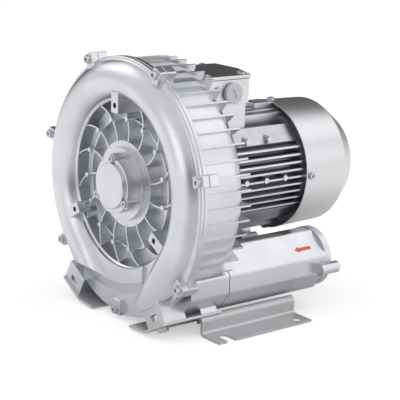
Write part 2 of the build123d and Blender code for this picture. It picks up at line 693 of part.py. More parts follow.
def motor_screw_places():
    return [polar(CORNER_SCREW_R, 45.0 + 90.0 * k) for k in range(4)]


def housing_cuts():
    """Impeller space, channel, port passages and screw holes of the rear casing."""
    cuts = [revolve(channel_section(1, CHANNEL_REAR_Y, CHANNEL_REAR_DEPTH), Axis.Y)]
    cuts.append(rod(CHANNEL_OUTER_R, JOINT_Y - 1.0, REAR_WALL_Y))
    back_r = IMPELLER_RIM_INNER_R - IMPELLER_GAP
    cuts.append(tube(CHANNEL_OUTER_R, back_r, JOINT_Y, CHANNEL_REAR_Y))
    for angle in cover_screw_angles():
        place = polar(BOLT_CIRCLE_R, angle)
        hole_end = LUG_FRONT_Y + COVER_SCREW_LENGTH + TIP_CLEARANCE
        cuts.append(rod(M6_R + SCREW_CLEARANCE, JOINT_Y - 1.0, hole_end, *place))
    for place in motor_screw_places():
        cuts.append(rod(M6_R + SCREW_CLEARANCE, REAR_WALL_Y - 1.0, MOTOR_FLANGE_Y + 1.0, *place))
        cuts.append(rod(M6_HEAD_R + HEAD_CLEARANCE, REAR_WALL_Y - 1.0, REAR_WALL_Y + M6_HEAD, *place))
    passage = rod(TUBE_R, CHANNEL_REAR_Y - 1.0, PORT_BOX_REAR_Y + 1.0, SILENCER_X, SILENCER_Z)
    pocket_front = FOOT_SCREW_YS[1] - FOOT_REAR_LUG_HALF - 1.0
    pocket = foot_lug_cuts(FOOT_SCREW_YS[1], pocket_front, FOOT_SCREW_YS[1] + M8_NUT_R + SCREW_CLEARANCE)
    cuts += [passage, mirrored(passage), pocket, mirrored(pocket)]
    for x, z in silencer_screw_places():
        hole_end = PORT_BOX_REAR_Y - SILENCER_SCREW_DEPTH
        hole = rod(M6_R + SCREW_CLEARANCE, hole_end, PORT_BOX_REAR_Y + 1.0, x, z)
        cuts += [hole, mirrored(hole)]
    return cuts


def motor_screws():
    """Screws from inside the rear casing into the corners of the motor housing."""
    length = MOTOR_FLANGE_Y - REAR_WALL_Y - M6_HEAD + MOTOR_SCREW_DEPTH - TIP_CLEARANCE
    one = screw(M6_R, M6_HEAD_R, M6_HEAD - HEAD_CLEARANCE, length)
    return [Pos(x, REAR_WALL_Y + M6_HEAD, z) * one for x, z in motor_screw_places()]


# Silencers

def silencer_screw_places():
    return [(SILENCER_X - SILENCER_SCREW_X, SILENCER_Z), (SILENCER_X + SILENCER_SCREW_X, SILENCER_Z)]


def port_lug_places():
    z = SILENCER_Z - PORT_LUG_DROP
    return [(SILENCER_X - PORT_LUG_X, z), (SILENCER_X + PORT_LUG_X, z)]


def silencer():
    """Octagonal tube with a front wall and two bosses for the port flange."""
    front = PORT_BOX_REAR_Y + SILENCER_GASKET
    inside = front + SILENCER_FRONT_WALL
    outer = slab(silencer_outline(), front, SILENCER_REAR_Y)
    bosses = [rod(PORT_LUG_R, SILENCER_REAR_Y - PORT_BOSS_LENGTH, SILENCER_REAR_Y, x, z)
              for x, z in port_lug_places()]
    body = outer + bosses - slab(silencer_outline(SILENCER_WALL), inside, SILENCER_REAR_Y + 1.0)
    cuts = [rod(TUBE_R, front - 1.0, inside + 1.0, SILENCER_X, SILENCER_Z)]
    for x, z in silencer_screw_places():
        cuts.append(rod(M6_R + SCREW_CLEARANCE, front - 1.0, inside + 1.0, x, z))
    for x, z in port_lug_places():
        hole_end = SILENCER_REAR_Y + PORT_LUG_LENGTH - FLANGE_SCREW_LENGTH - TIP_CLEARANCE
        cuts.append(rod(M5_R + SCREW_CLEARANCE, hole_end, SILENCER_REAR_Y + 1.0, x, z))
    return body - cuts


def silencer_gasket():
    rear = PORT_BOX_REAR_Y + SILENCER_GASKET
    sheet = slab(silencer_outline(GASKET_INSET), PORT_BOX_REAR_Y, rear)
    holes = [rod(TUBE_R, PORT_BOX_REAR_Y - 1.0, rear + 1.0, SILENCER_X, SILENCER_Z)]
    for x, z in silencer_screw_places():
        holes.append(rod(M6_R + SCREW_CLEARANCE, PORT_BOX_REAR_Y - 1.0, rear + 1.0, x, z))
    return sheet - holes


def silencer_screws():
    inside = PORT_BOX_REAR_Y + SILENCER_GASKET + SILENCER_FRONT_WALL
    length = inside - PORT_BOX_REAR_Y + SILENCER_SCREW_DEPTH - TIP_CLEARANCE
    one = screw(M6_R, M6_HEAD_R, M6_HEAD, length)
    right = [Pos(x, inside, z) * Rot(180, 0, 0) * one for x, z in silencer_screw_places()]
    return right + [mirrored(piece) for piece in right]


def silencer_lining():
    """Absorbing foam between the silencer wall and its perforated tube."""
    inside = PORT_BOX_REAR_Y + SILENCER_GASKET + SILENCER_FRONT_WALL
    start = inside + M6_HEAD + FOAM_CLEARANCE
    end = SILENCER_REAR_Y - FOAM_CLEARANCE
    outer = slab(silencer_outline(SILENCER_WALL + FOAM_CLEARANCE), start, end)
    bore_r = TUBE_R + TUBE_WALL + FOAM_CLEARANCE
    return outer - rod(bore_r, start - 1.0, end + 1.0, SILENCER_X, SILENCER_Z)


def silencer_tube():
    start = PORT_BOX_REAR_Y + SILENCER_GASKET + SILENCER_FRONT_WALL
    pipe = rod(TUBE_R + TUBE_WALL, start, SILENCER_REAR_Y, SILENCER_X, SILENCER_Z)
    return pipe - rod(TUBE_R, start - 1.0, SILENCER_REAR_Y + 1.0, SILENCER_X, SILENCER_Z)


def port_flange():
    """Threaded end flange of a silencer, with a round boss and two screw lugs."""
    rear = SILENCER_REAR_Y + PORT_FLANGE_THICK
    step = rear + PORT_STEP
    plate = silencer_outline()
    for x, z in port_lug_places():
        plate += Pos(x, z) * Circle(PORT_LUG_R)
    flange = slab(plate, SILENCER_REAR_Y, rear)
    flange += rod(PORT_FLANGE_R, rear, step, SILENCER_X, SILENCER_Z)
    flange += rod(PORT_BOSS_R, step, PORT_BOSS_Y, SILENCER_X, SILENCER_Z)
    lug_rear = SILENCER_REAR_Y + PORT_LUG_LENGTH
    flange += [rod(PORT_LUG_R, SILENCER_REAR_Y, lug_rear, x, z) for x, z in port_lug_places()]
    cuts = [rod(PORT_R, SILENCER_REAR_Y - 1.0, PORT_BOSS_Y + 1.0, SILENCER_X, SILENCER_Z)]
    for x, z in port_lug_places():
        cuts.append(rod(M5_R + SCREW_CLEARANCE, SILENCER_REAR_Y - 1.0, lug_rear + 1.0, x, z))
    return flange - cuts


def flange_screws():
    rear = SILENCER_REAR_Y + PORT_LUG_LENGTH
    one = screw(M5_R, M5_HEAD_R, M5_HEAD, FLANGE_SCREW_LENGTH)
    right = [Pos(x, rear, z) * Rot(180, 0, 0) * one for x, z in port_lug_places()]
    return right + [mirrored(piece) for piece in right]


# Feet

def foot():
    """Bent sheet foot on the right: a front tongue under the lugs and a Z-shaped rear."""
    half = FOOT_SHEET / 2
    corner = (FOOT_WEB_X, FOOT_TOP_Z)
    slope = (FOOT_TOP_Z - FOOT_KNEE_Z) / (FOOT_WEB_X - FOOT_KNEE_X)
    strip_start = (FOOT_STRIP_X, FOOT_TOP_Z - slope * (FOOT_WEB_X - FOOT_STRIP_X))
    tongue_line = Polyline((FOOT_INNER_X, FOOT_KNEE_Z - FOOT_INNER_DROP), (FOOT_KNEE_X, FOOT_KNEE_Z), corner)
    tongue = slab(trace(tongue_line, line_width=FOOT_SHEET), FOOT_FRONT_Y, FOOT_TONGUE_REAR_Y)
    floor_z = half - AXIS_HEIGHT
    z_line = FilletPolyline(strip_start, corner, (FOOT_WEB_X, floor_z), (FOOT_OUTER_X, floor_z),
                            radius=FOOT_BEND_R)
    rear = slab(trace(z_line, line_width=FOOT_SHEET), FOOT_REAR_START_Y, FOOT_REAR_Y)
    slot_y = FOOT_HOLE_Y - FOOT_HOLE_PITCH_Y
    slot_half = FOOT_SLOT_WIDTH / 2
    cuts = [
        Pos(FOOT_HOLE_X, FOOT_HOLE_Y, -AXIS_HEIGHT) * Cylinder(FOOT_HOLE_R, 4 * FOOT_SHEET),
        Pos(FOOT_HOLE_X - FOOT_SLOT_REACH, slot_y, -AXIS_HEIGHT) * Cylinder(slot_half, 4 * FOOT_SHEET),
        block(FOOT_HOLE_X - FOOT_SLOT_REACH, FOOT_OUTER_X + 1.0, slot_y - slot_half, slot_y + slot_half,
              -AXIS_HEIGHT - 1.0, -AXIS_HEIGHT + 2 * FOOT_SHEET),
    ]
    for y in FOOT_SCREW_YS:
        cuts.append(on_foot(Cylinder(M8_R + SCREW_CLEARANCE, 4 * FOOT_SHEET), y))
    return tongue + rear - cuts


def foot_screws():
    """Hexagon screws up through the feet into the nuts in the casing lugs."""
    grip = NUT_POCKET_BASE + NUT_POCKET_HEIGHT - HEAD_CLEARANCE
    head = extrude(RegularPolygon(M8_HEAD_R, 6), M8_HEAD)
    one = Pos(0, 0, -FOOT_SHEET - M8_HEAD) * head
    one += Pos(0, 0, (grip - FOOT_SHEET) / 2) * Cylinder(M8_R, grip + FOOT_SHEET)
    right = [on_foot(one, y) for y in FOOT_SCREW_YS]
    return right + [mirrored(piece) for piece in right]


def foot_nuts():
    nut = extrude(RegularPolygon(M8_NUT_R, 6, rotation=30), M8_NUT_THICK)
    nut -= Cylinder(M8_R + SCREW_CLEARANCE, 4 * M8_NUT_THICK)
    right = [on_foot(Pos(0, 0, NUT_POCKET_BASE) * nut, y) for y in FOOT_SCREW_YS]
    return right + [mirrored(piece) for piece in right]


# Impeller and shaft

def impeller():
    """Wheel with a ring of open pockets on each side of a thin web."""
    outer_r = CHANNEL_OUTER_R - IMPELLER_GAP
    middle_y = (IMPELLER_FRONT_Y + IMPELLER_REAR_Y) / 2
    web_front = middle_y - IMPELLER_RIM_THICK / 2
    web_rear = middle_y + IMPELLER_RIM_THICK / 2
    disc_rear = IMPELLER_WEB_Y + IMPELLER_WEB_THICK
    bore_r = SHAFT_R + BEARING_CLEARANCE
    body = turned(
        (bore_r, IMPELLER_HUB_FRONT_Y), (IMPELLER_HUB_R, IMPELLER_HUB_FRONT_Y),
        (IMPELLER_HUB_R, IMPELLER_WEB_Y), (IMPELLER_RIM_INNER_R, IMPELLER_WEB_Y),
        (IMPELLER_RIM_INNER_R, IMPELLER_FRONT_Y), (CHANNEL_INNER_R, IMPELLER_FRONT_Y),
        (CHANNEL_INNER_R, web_front), (outer_r, web_front), (outer_r, web_rear),
        (CHANNEL_INNER_R, web_rear), (CHANNEL_INNER_R, IMPELLER_REAR_Y),
        (IMPELLER_RIM_INNER_R, IMPELLER_REAR_Y), (IMPELLER_RIM_INNER_R, disc_rear),
        (IMPELLER_HUB_R, disc_rear), (IMPELLER_HUB_R, IMPELLER_HUB_REAR_Y),
        (bore_r, IMPELLER_HUB_REAR_Y),
    )
    half = IMPELLER_BLADE_THICK / 2
    blade = block(CHANNEL_INNER_R - 1.0, outer_r - 0.5, IMPELLER_FRONT_Y, IMPELLER_REAR_Y, -half, half)
    body += [at_angle(360.0 * k / IMPELLER_BLADES, blade) for k in range(IMPELLER_BLADES)]
    hole = rod(IMPELLER_HOLE_R, IMPELLER_WEB_Y - 1.0, disc_rear + 1.0, IMPELLER_HOLE_CIRCLE_R)
    cuts = [at_angle(360.0 * k / IMPELLER_HOLES, hole) for k in range(IMPELLER_HOLES)]
    cuts.append(key_space(SCREW_CLEARANCE))
    return body - cuts


def key_space(clearance):
    """The key between shaft and impeller, grown by a clearance."""
    half = KEY_WIDTH / 2 + clearance
    top = SHAFT_R + KEY_RISE + clearance
    return block(-half, half, IMPELLER_HUB_FRONT_Y - clearance, IMPELLER_HUB_REAR_Y + clearance,
                 SHAFT_R - KEY_SINK - clearance, top)


def shaft():
    """Stepped motor shaft with the impeller's keyway."""
    rear_seat_end = REAR_BEARING_Y + REAR_BEARING_WIDTH + CIRCLIP_THICK + 1.0
    body = turned(
        (0, SHAFT_FRONT_Y), (SHAFT_R, SHAFT_FRONT_Y), (SHAFT_R, IMPELLER_HUB_REAR_Y),
        (SHAFT_SHOULDER_R, IMPELLER_HUB_REAR_Y), (SHAFT_SHOULDER_R, REAR_BEARING_Y),
        (SHAFT_REAR_R, REAR_BEARING_Y), (SHAFT_REAR_R, rear_seat_end),
        (SHAFT_FAN_R, rear_seat_end), (SHAFT_FAN_R, SHAFT_REAR_Y), (0, SHAFT_REAR_Y),
    )
    cuts = [circlip_groove(SHAFT_R, FRONT_BEARING_Y - CIRCLIP_THICK)]
    cuts.append(circlip_groove(SHAFT_REAR_R, REAR_BEARING_Y + REAR_BEARING_WIDTH))
    cuts.append(circlip_groove(SHAFT_FAN_R, FAN_HUB_REAR_Y))
    keyway = block(-KEY_WIDTH / 2 - SCREW_CLEARANCE, KEY_WIDTH / 2 + SCREW_CLEARANCE,
                   IMPELLER_HUB_FRONT_Y - SCREW_CLEARANCE, IMPELLER_HUB_REAR_Y,
                   SHAFT_R - KEY_SINK - SCREW_CLEARANCE, SHAFT_R + 1.0)
    return body - cuts - keyway


def circlip_groove(radius, y_from):
    return tube(radius + 1.0, radius - CIRCLIP_DEPTH, y_from, y_from + CIRCLIP_THICK)


def circlip(radius, y_from):
    """Open spring ring in a groove of the shaft."""
    inner_r = radius - CIRCLIP_DEPTH + BEARING_CLEARANCE
    ring = tube(radius + CIRCLIP_RISE, inner_r, y_from, y_from + CIRCLIP_THICK)
    return ring - block(-CIRCLIP_GAP / 2, CIRCLIP_GAP / 2, y_from - 1.0, y_from + 2 * CIRCLIP_THICK,
                        0, 2 * radius)


def impeller_key():
    return key_space(0.0)


def spacer_sleeve():
    """Sleeve between the front bearing and the impeller hub, on which the front seal runs."""
    start = FRONT_BEARING_Y + FRONT_BEARING_WIDTH
    return tube(SHAFT_SHOULDER_R, SHAFT_R + BEARING_CLEARANCE, start, IMPELLER_HUB_FRONT_Y)


def shaft_seal(y_from):
    """Seal ring that fits a seat and runs on the shaft."""
    return tube(SEAL_SEAT_R - BEARING_CLEARANCE, SHAFT_SHOULDER_R + SEAL_RUN, y_from, y_from + SEAL_WIDTH)


# Ball bearings

def race_grooves(pitch_r, middle_y, ball_r):
    """The ring-shaped space in which the balls of a bearing roll."""
    return revolve(Pos(pitch_r, middle_y) * Circle(ball_r + GROOVE_CLEARANCE), Axis.Y)


def bearing(bore_r, outer_r, y_from, width, ball_r, balls):
    """Outer ring, inner ring, cage and balls of one bearing."""
    middle_y = y_from + width / 2
    pitch_r = (bore_r + outer_r) / 2
    groove = race_grooves(pitch_r, middle_y, ball_r)
    inner = tube(bore_r + RACE_THICK, bore_r + BEARING_CLEARANCE, y_from, y_from + width) - groove
    outer = tube(outer_r - BEARING_CLEARANCE, outer_r - RACE_THICK, y_from, y_from + width) - groove
    places = [polar(pitch_r, 360.0 * k / balls) for k in range(balls)]
    spheres = [Pos(x, middle_y, z) * Sphere(ball_r) for x, z in places]
    pocket = Pos(pitch_r, middle_y, 0) * Rot(0, 90, 0) * Cylinder(ball_r + CAGE_CLEARANCE, 4 * CAGE_THICK)
    pockets = [at_angle(360.0 * k / balls, pocket) for k in range(balls)]
    cage = tube(pitch_r + CAGE_THICK / 2, pitch_r - CAGE_THICK / 2,
                middle_y - ball_r - CAGE_EDGE, middle_y + ball_r + CAGE_EDGE) - pockets
    return outer, inner, cage, spheres


def save_bearing(prefix, *sizes):
    outer, inner, cage, spheres = bearing(*sizes)
    save(prefix + "_bearing_outer_ring", outer)
    save(prefix + "_bearing_inner_ring", inner)
    save(prefix + "_bearing_cage", cage)
    save(prefix + "_bearing_balls", *spheres)


def preload_washer():
    return tube(FRONT_BEARING_R - BEARING_CLEARANCE, FRONT_BEARING_R - RACE_THICK,
                FRONT_BEARING_Y - WASHER_THICK, FRONT_BEARING_Y)


# Motor

def motor_section():
    """Front-view section of the finned motor housing."""
    core = Circle(MOTOR_CORE_R)
    span = 2 * MOTOR_FIN_R
    fins = Circle(MOTOR_CORE_R)
    for k in range(MOTOR_SIDE_FINS):
        fins += Pos(0, (k - (MOTOR_SIDE_FINS - 1) / 2) * MOTOR_FIN_PITCH) * Rectangle(span, MOTOR_FIN_THICK)
    for k in range(MOTOR_TOP_FINS):
        fins += Pos((k - (MOTOR_TOP_FINS - 1) / 2) * MOTOR_FIN_PITCH, 0) * Rectangle(MOTOR_FIN_THICK, span)
    fins = fins & Circle(MOTOR_FIN_R)
    corner = Rectangle(2 * MOTOR_CORNER_R, 2 * MOTOR_CORNER_HALF)
    return core + fins + Rot(0, 0, 45) * corner + Rot(0, 0, -45) * corner


def motor_housing():
    body = slab(motor_section(), MOTOR_FLANGE_Y, MOTOR_REAR_Y)
    neck = block(-NECK_HALF_WIDTH, NECK_HALF_WIDTH, NECK_FRONT_Y, NECK_REAR_Y, 0, BOX_BOTTOM_Z)
    added = [neck, tube(MOTOR_FIN_R, MOTOR_BORE_R, MOTOR_FLANGE_Y, MOTOR_FLANGE_Y + MOTOR_RING)]
    eye_pad_rear = COWL_FRONT_Y - TIP_CLEARANCE
    added.append(block(-EYE_PAD_HALF, EYE_PAD_HALF, EYE_PAD_FRONT_Y, eye_pad_rear, 0, EYE_PAD_TOP_Z))
    for y in POST_YS:
        added.append(Pos(POST_END_X / 2, y, POST_Z) * Rot(0, 90, 0) * Cylinder(POST_R, POST_END_X))
    for y in CORNER_POST_YS:
        post = Rot(0, 90, 0) * Cylinder(POST_R, CORNER_POST_END_X)
        added.append(Pos(CORNER_POST_END_X / 2, y, CORNER_POST_Z) * post)
    cuts = [rod(MOTOR_BORE_R, MOTOR_FLANGE_Y - 1.0, MOTOR_REAR_Y + 1.0)]
    middle_y = (NECK_FRONT_Y + NECK_REAR_Y) / 2
    cuts.append(Pos(0, middle_y, BOX_BOTTOM_Z) * Cylinder(WIRE_HOLE_R, 2 * MOTOR_CORE_R))
    cuts.append(Pos(0, EYE_HOLE_Y, EYE_PAD_TOP_Z) * Cylinder(EYE_HOLE_R, 2 * EYE_HOLE_DEPTH))
    front_end = MOTOR_FLANGE_Y + MOTOR_SCREW_DEPTH
    rear_end = MOTOR_REAR_Y - SHIELD_SCREW_DEPTH
    for place in motor_screw_places():
        cuts.append(rod(M6_R + SCREW_CLEARANCE, MOTOR_FLANGE_Y - 1.0, front_end, *place))
        cuts.append(rod(M5_R + SCREW_CLEARANCE, rear_end, MOTOR_REAR_Y + 1.0, *place))
    return body + added - cuts


def stator_core():
    return tube(MOTOR_BORE_R - STATOR_CLEARANCE, STATOR_BORE_R, STATOR_FRONT_Y, STATOR_REAR_Y)


def stator_windings():
    front = turned_ring(STATOR_FRONT_Y - WINDING_OVERHANG, STATOR_FRONT_Y)
    return [front, turned_ring(STATOR_REAR_Y, STATOR_REAR_Y + WINDING_OVERHANG)]


def turned_ring(y_from, y_to):
    """One rounded end of the windings."""
    ring = tube(WINDING_OUTER_R, WINDING_INNER_R, y_from, y_to)
    return fillet(ring.edges().filter_by(GeomType.CIRCLE), WINDING_EDGE_R)


def rotor_core():
    """Laminated rotor with its two cast end rings."""
    core_r = STATOR_BORE_R - ROTOR_GAP
    core = tube(core_r, SHAFT_SHOULDER_R + BEARING_CLEARANCE, STATOR_FRONT_Y, STATOR_REAR_Y)
    ring_r = core_r - END_RING_STEP
    rings = [tube(ring_r, ring_r - END_RING_THICK, STATOR_FRONT_Y - END_RING, STATOR_FRONT_Y),
             tube(ring_r, ring_r - END_RING_THICK, STATOR_REAR_Y, STATOR_REAR_Y + END_RING)]
    return core + rings


def rear_endshield():
    """Rear bearing shield of the motor, with arms that carry the fan cowl."""
    plate_rear = MOTOR_REAR_Y + ENDSHIELD_THICK
    seat_end = REAR_BEARING_Y + REAR_BEARING_WIDTH + 2.0
    body = turned(
        (SHAFT_SHOULDER_R + SHAFT_GAP, MOTOR_REAR_Y), (MOTOR_BORE_R - SPIGOT_WALL, MOTOR_REAR_Y),
        (MOTOR_BORE_R - SPIGOT_WALL, MOTOR_REAR_Y - SPIGOT),
        (MOTOR_BORE_R - STATOR_CLEARANCE, MOTOR_REAR_Y - SPIGOT),
        (MOTOR_BORE_R - STATOR_CLEARANCE, MOTOR_REAR_Y), (MOTOR_CORNER_R, MOTOR_REAR_Y),
        (MOTOR_CORNER_R, plate_rear), (ENDSHIELD_HUB_R, plate_rear), (ENDSHIELD_HUB_R, seat_end),
        (REAR_BEARING_R, seat_end), (REAR_BEARING_R, REAR_BEARING_Y),
        (SHAFT_SHOULDER_R + SHAFT_GAP, REAR_BEARING_Y),
    )
    inside_r = COWL_FRONT_R - COWL_SHEET - COWL_FIT
    arm = block(MOTOR_CORNER_R - 2.0, inside_r, MOTOR_REAR_Y, plate_rear, -COWL_ARM_HALF, COWL_ARM_HALF)
    body += [at_angle(360.0 * k / COWL_SCREWS, arm) for k in range(COWL_SCREWS)]
    screw_hole = Rot(0, 90, 0) * Cylinder(M5_R + SCREW_CLEARANCE, 2 * COWL_SCREW_DEPTH)
    hole = Pos(inside_r, COWL_SCREW_Y, 0) * screw_hole
    cuts = [at_angle(360.0 * k / COWL_SCREWS, hole) for k in range(COWL_SCREWS)]
    for place in motor_screw_places():
        cuts.append(rod(M5_R + SCREW_CLEARANCE, MOTOR_REAR_Y - 1.0, plate_rear + 1.0, *place))
    return body - cuts


def endshield_screws():
    rear = MOTOR_REAR_Y + ENDSHIELD_THICK
    length = ENDSHIELD_THICK + SHIELD_SCREW_DEPTH - TIP_CLEARANCE
    one = Rot(180, 0, 0) * screw(M5_R, M5_HEAD_R, M5_HEAD, length)
    return [Pos(x, rear, z) * one for x, z in motor_screw_places()]


# Fan and cowl

def cowl_outline(inset):
    """Outline of the cowl, from the front rim to the flat rear wall, moved in by a sheet."""
    rear_y = COWL_REAR_Y - inset
    slope = atan((COWL_SHOULDER_R - COWL_REAR_R) / (COWL_REAR_Y - COWL_SHOULDER_Y))
    rear_r = COWL_REAR_R - inset / cos(slope) + inset * tan(slope)
    return Polyline(
        (0, COWL_FRONT_Y), (COWL_FRONT_R - inset, COWL_FRONT_Y), (COWL_SHOULDER_R - inset, COWL_SHOULDER_Y),
        (rear_r, rear_y), (0, rear_y), close=True,
    )


def fan_cowl():
    """Pressed sheet cowl with a grille of ring slots in its rear wall."""
    outer = revolve(make_face(cowl_outline(0.0)), Axis.Y)
    outer = fillet(outer.edges().filter_by(GeomType.CIRCLE).sort_by(Axis.Y)[1:], COWL_EDGE_R)
    body = outer - revolve(make_face(cowl_outline(COWL_SHEET)), Axis.Y)
    slots = Circle(GRILLE_START_R + GRILLE_SLOT) - Circle(GRILLE_START_R)
    for k in range(1, GRILLE_RINGS):
        inner_r = GRILLE_START_R + k * (GRILLE_SLOT + GRILLE_BAR)
        slots += Circle(inner_r + GRILLE_SLOT) - Circle(inner_r)
    for k in range(GRILLE_SECTORS // 2):
        slots -= Rot(0, 0, 360.0 * k / GRILLE_SECTORS) * Rectangle(2 * COWL_REAR_R, GRILLE_BAR)
    cuts = [slab(slots, COWL_REAR_Y - 2 * COWL_SHEET, COWL_REAR_Y + 1.0)]
    hole = Rot(0, 90, 0) * Cylinder(M5_R + SCREW_CLEARANCE, 8 * COWL_SHEET)
    hole = Pos(COWL_FRONT_R, COWL_SCREW_Y, 0) * hole
    cuts += [at_angle(360.0 * k / COWL_SCREWS, hole) for k in range(COWL_SCREWS)]
    return body - cuts


def cowl_screws():
    one = Rot(0, 0, 90) * screw(M5_R, M5_HEAD_R, M5_HEAD, COWL_SCREW_DEPTH)
    placed = Pos(COWL_FRONT_R, COWL_SCREW_Y, 0) * one
    return [at_angle(360.0 * k / COWL_SCREWS, placed) for k in range(COWL_SCREWS)]


def cooling_fan():
    """Radial fan with straight blades, on the rear end of the shaft."""
    blade_rear = FAN_FRONT_Y + FAN_DISC_THICK + FAN_BLADE_HEIGHT
    bore_r = SHAFT_FAN_R + BEARING_CLEARANCE
    body = tube(FAN_R, bore_r, FAN_FRONT_Y, FAN_FRONT_Y + FAN_DISC_THICK)
    blade = block(FAN_HUB_R - 1.0, FAN_R, FAN_FRONT_Y, blade_rear, -FAN_BLADE_THICK / 2, FAN_BLADE_THICK / 2)
    added = [at_angle(360.0 * k / FAN_BLADES, blade) for k in range(FAN_BLADES)]
    added.append(tube(FAN_HUB_R, bore_r, FAN_FRONT_Y, FAN_HUB_REAR_Y))
    return body + added


# Terminal box

def terminal_box():
    outer = block(-BOX_HALF_WIDTH, BOX_HALF_WIDTH, BOX_FRONT_Y, BOX_REAR_Y, BOX_BOTTOM_Z, BOX_TOP_Z)
    inner = block(-BOX_HALF_WIDTH + BOX_WALL, BOX_HALF_WIDTH - BOX_WALL, BOX_FRONT_Y + BOX_WALL,
                  BOX_REAR_Y - BOX_WALL, BOX_BOTTOM_Z + BOX_WALL, BOX_TOP_Z + 1.0)
    pillars = [Pos(x, y, (BOX_BOTTOM_Z + BOX_TOP_Z) / 2) * Cylinder(LID_PILLAR_R, BOX_TOP_Z - BOX_BOTTOM_Z)
               for x, y in lid_screw_places()]
    body = outer - inner + pillars
    middle_y = (NECK_FRONT_Y + NECK_REAR_Y) / 2
    cuts = [Pos(0, middle_y, BOX_BOTTOM_Z) * Cylinder(WIRE_HOLE_R, 4 * BOX_WALL)]
    for side in (-1, 1):
        opening = Rot(0, 90, 0) * Cylinder(PLUG_THREAD_R + SCREW_CLEARANCE, 4 * BOX_WALL)
        cuts.append(Pos(side * BOX_HALF_WIDTH, PLUG_Y, PLUG_Z) * opening)
    for x, y in lid_screw_places():
        cuts.append(Pos(x, y, BOX_TOP_Z) * Cylinder(M4_R + SCREW_CLEARANCE, 2 * LID_SCREW_DEPTH))
    earth = Rot(0, 90, 0) * Cylinder(M4_R + SCREW_CLEARANCE, 4 * BOX_WALL)
    cuts.append(Pos(BOX_HALF_WIDTH, EARTH_Y, EARTH_Z) * earth)
    return body - cuts


def lid_screw_places():
    reach_x = BOX_HALF_WIDTH - LID_SCREW_INSET
    middle_y = (BOX_FRONT_Y + BOX_REAR_Y) / 2
    reach_y = (BOX_REAR_Y - BOX_FRONT_Y) / 2 - LID_SCREW_INSET
    return [(sx * reach_x, middle_y + sy * reach_y) for sx in (-1, 1) for sy in (-1, 1)]


def box_gasket():
    rear = BOX_TOP_Z + LID_GASKET
    outer = block(-BOX_HALF_WIDTH, BOX_HALF_WIDTH, BOX_FRONT_Y, BOX_REAR_Y, BOX_TOP_Z, rear)
    inner = block(-BOX_HALF_WIDTH + BOX_WALL, BOX_HALF_WIDTH - BOX_WALL, BOX_FRONT_Y + BOX_WALL,
                  BOX_REAR_Y - BOX_WALL, BOX_TOP_Z - 1.0, rear + 1.0)
    pads = [Pos(x, y, BOX_TOP_Z + LID_GASKET / 2) * Cylinder(LID_PILLAR_R, LID_GASKET)
            for x, y in lid_screw_places()]
    holes = [Pos(x, y, BOX_TOP_Z) * Cylinder(M4_R + SCREW_CLEARANCE, 4 * LID_GASKET)
             for x, y in lid_screw_places()]
    return outer - inner + pads - holes


def lid_solid(inset, z_from, z_band, z_top):
    """Band and roof-shaped top of the lid, moved in by an inset."""
    half_x = BOX_HALF_WIDTH + LID_OVERHANG - inset
    half_y = (BOX_REAR_Y - BOX_FRONT_Y) / 2 + LID_OVERHANG - inset
    middle_y = (BOX_FRONT_Y + BOX_REAR_Y) / 2
    band = Pos(0, middle_y, (z_from + z_band) / 2) * Box(2 * half_x, 2 * half_y, z_band - z_from)
    low = Pos(0, middle_y, z_band) * Rectangle(2 * half_x, 2 * half_y)
    high = Pos(0, middle_y, z_top) * Rectangle(2 * (LID_FLAT_HALF - inset), 2 * (half_y - LID_END_INSET))
    return band + loft([low, high])


def terminal_box_lid():
    seat = BOX_TOP_Z + LID_GASKET
    body = lid_solid(0.0, seat, seat + LID_BAND, LID_TOP_Z)
    body -= lid_solid(LID_OVERHANG + BOX_WALL, seat - 1.0, seat + 1.0, LID_TOP_Z - BOX_WALL)
    pillar = Cylinder(LID_WELL_R, LID_BAND)
    inside = block(-BOX_HALF_WIDTH, BOX_HALF_WIDTH, BOX_FRONT_Y, BOX_REAR_Y, seat, LID_TOP_Z)
    body += [Pos(x, y, seat + LID_BAND / 2) * pillar & inside for x, y in lid_screw_places()]
    cuts = []
    well = LID_TOP_Z - seat
    for x, y in lid_screw_places():
        cuts.append(Pos(x, y, seat) * Cylinder(M4_R + SCREW_CLEARANCE, 4 * LID_BAND))
        cuts.append(Pos(x, y, seat + LID_BAND + well / 2) * Cylinder(LID_WELL_R, well))
    return body - cuts


def lid_screws():
    seat = BOX_TOP_Z + LID_GASKET + LID_BAND
    length = LID_GASKET + LID_BAND + LID_SCREW_DEPTH - TIP_CLEARANCE
    one = Rot(-90, 0, 0) * screw(M4_R, M4_HEAD_R, M4_HEAD, length)
    return [Pos(x, y, seat) * one for x, y in lid_screw_places()]


def terminal_block():
    middle_y = (NECK_FRONT_Y + NECK_REAR_Y) / 2
    half_x, half_y = TERMINAL_HALF_X, TERMINAL_HALF_Y
    base_z = BOX_BOTTOM_Z + BOX_WALL
    body = block(-half_x, half_x, middle_y - half_y, middle_y + half_y, base_z, base_z + TERMINAL_HEIGHT)
    holes = [Pos(x, y, base_z + TERMINAL_HEIGHT) * Cylinder(M4_R + SCREW_CLEARANCE, TERMINAL_HEIGHT)
             for x, y in stud_places()]
    return body - holes


def stud_places():
    middle_y = (NECK_FRONT_Y + NECK_REAR_Y) / 2
    return [(k * STUD_PITCH, middle_y + s * STUD_PITCH / 2) for k in (-1, 0, 1) for s in (-1, 1)]


def terminal_studs():
    """Six threaded studs, each with its nut."""
    top = BOX_BOTTOM_Z + BOX_WALL + TERMINAL_HEIGHT
    stud = Pos(0, 0, STUD_RISE / 2 - STUD_SINK / 2) * Cylinder(M4_R, STUD_RISE + STUD_SINK)
    stud += extrude(RegularPolygon(M4_HEAD_R, 6), M4_HEAD)
    return [Pos(x, y, top) * stud for x, y in stud_places()]


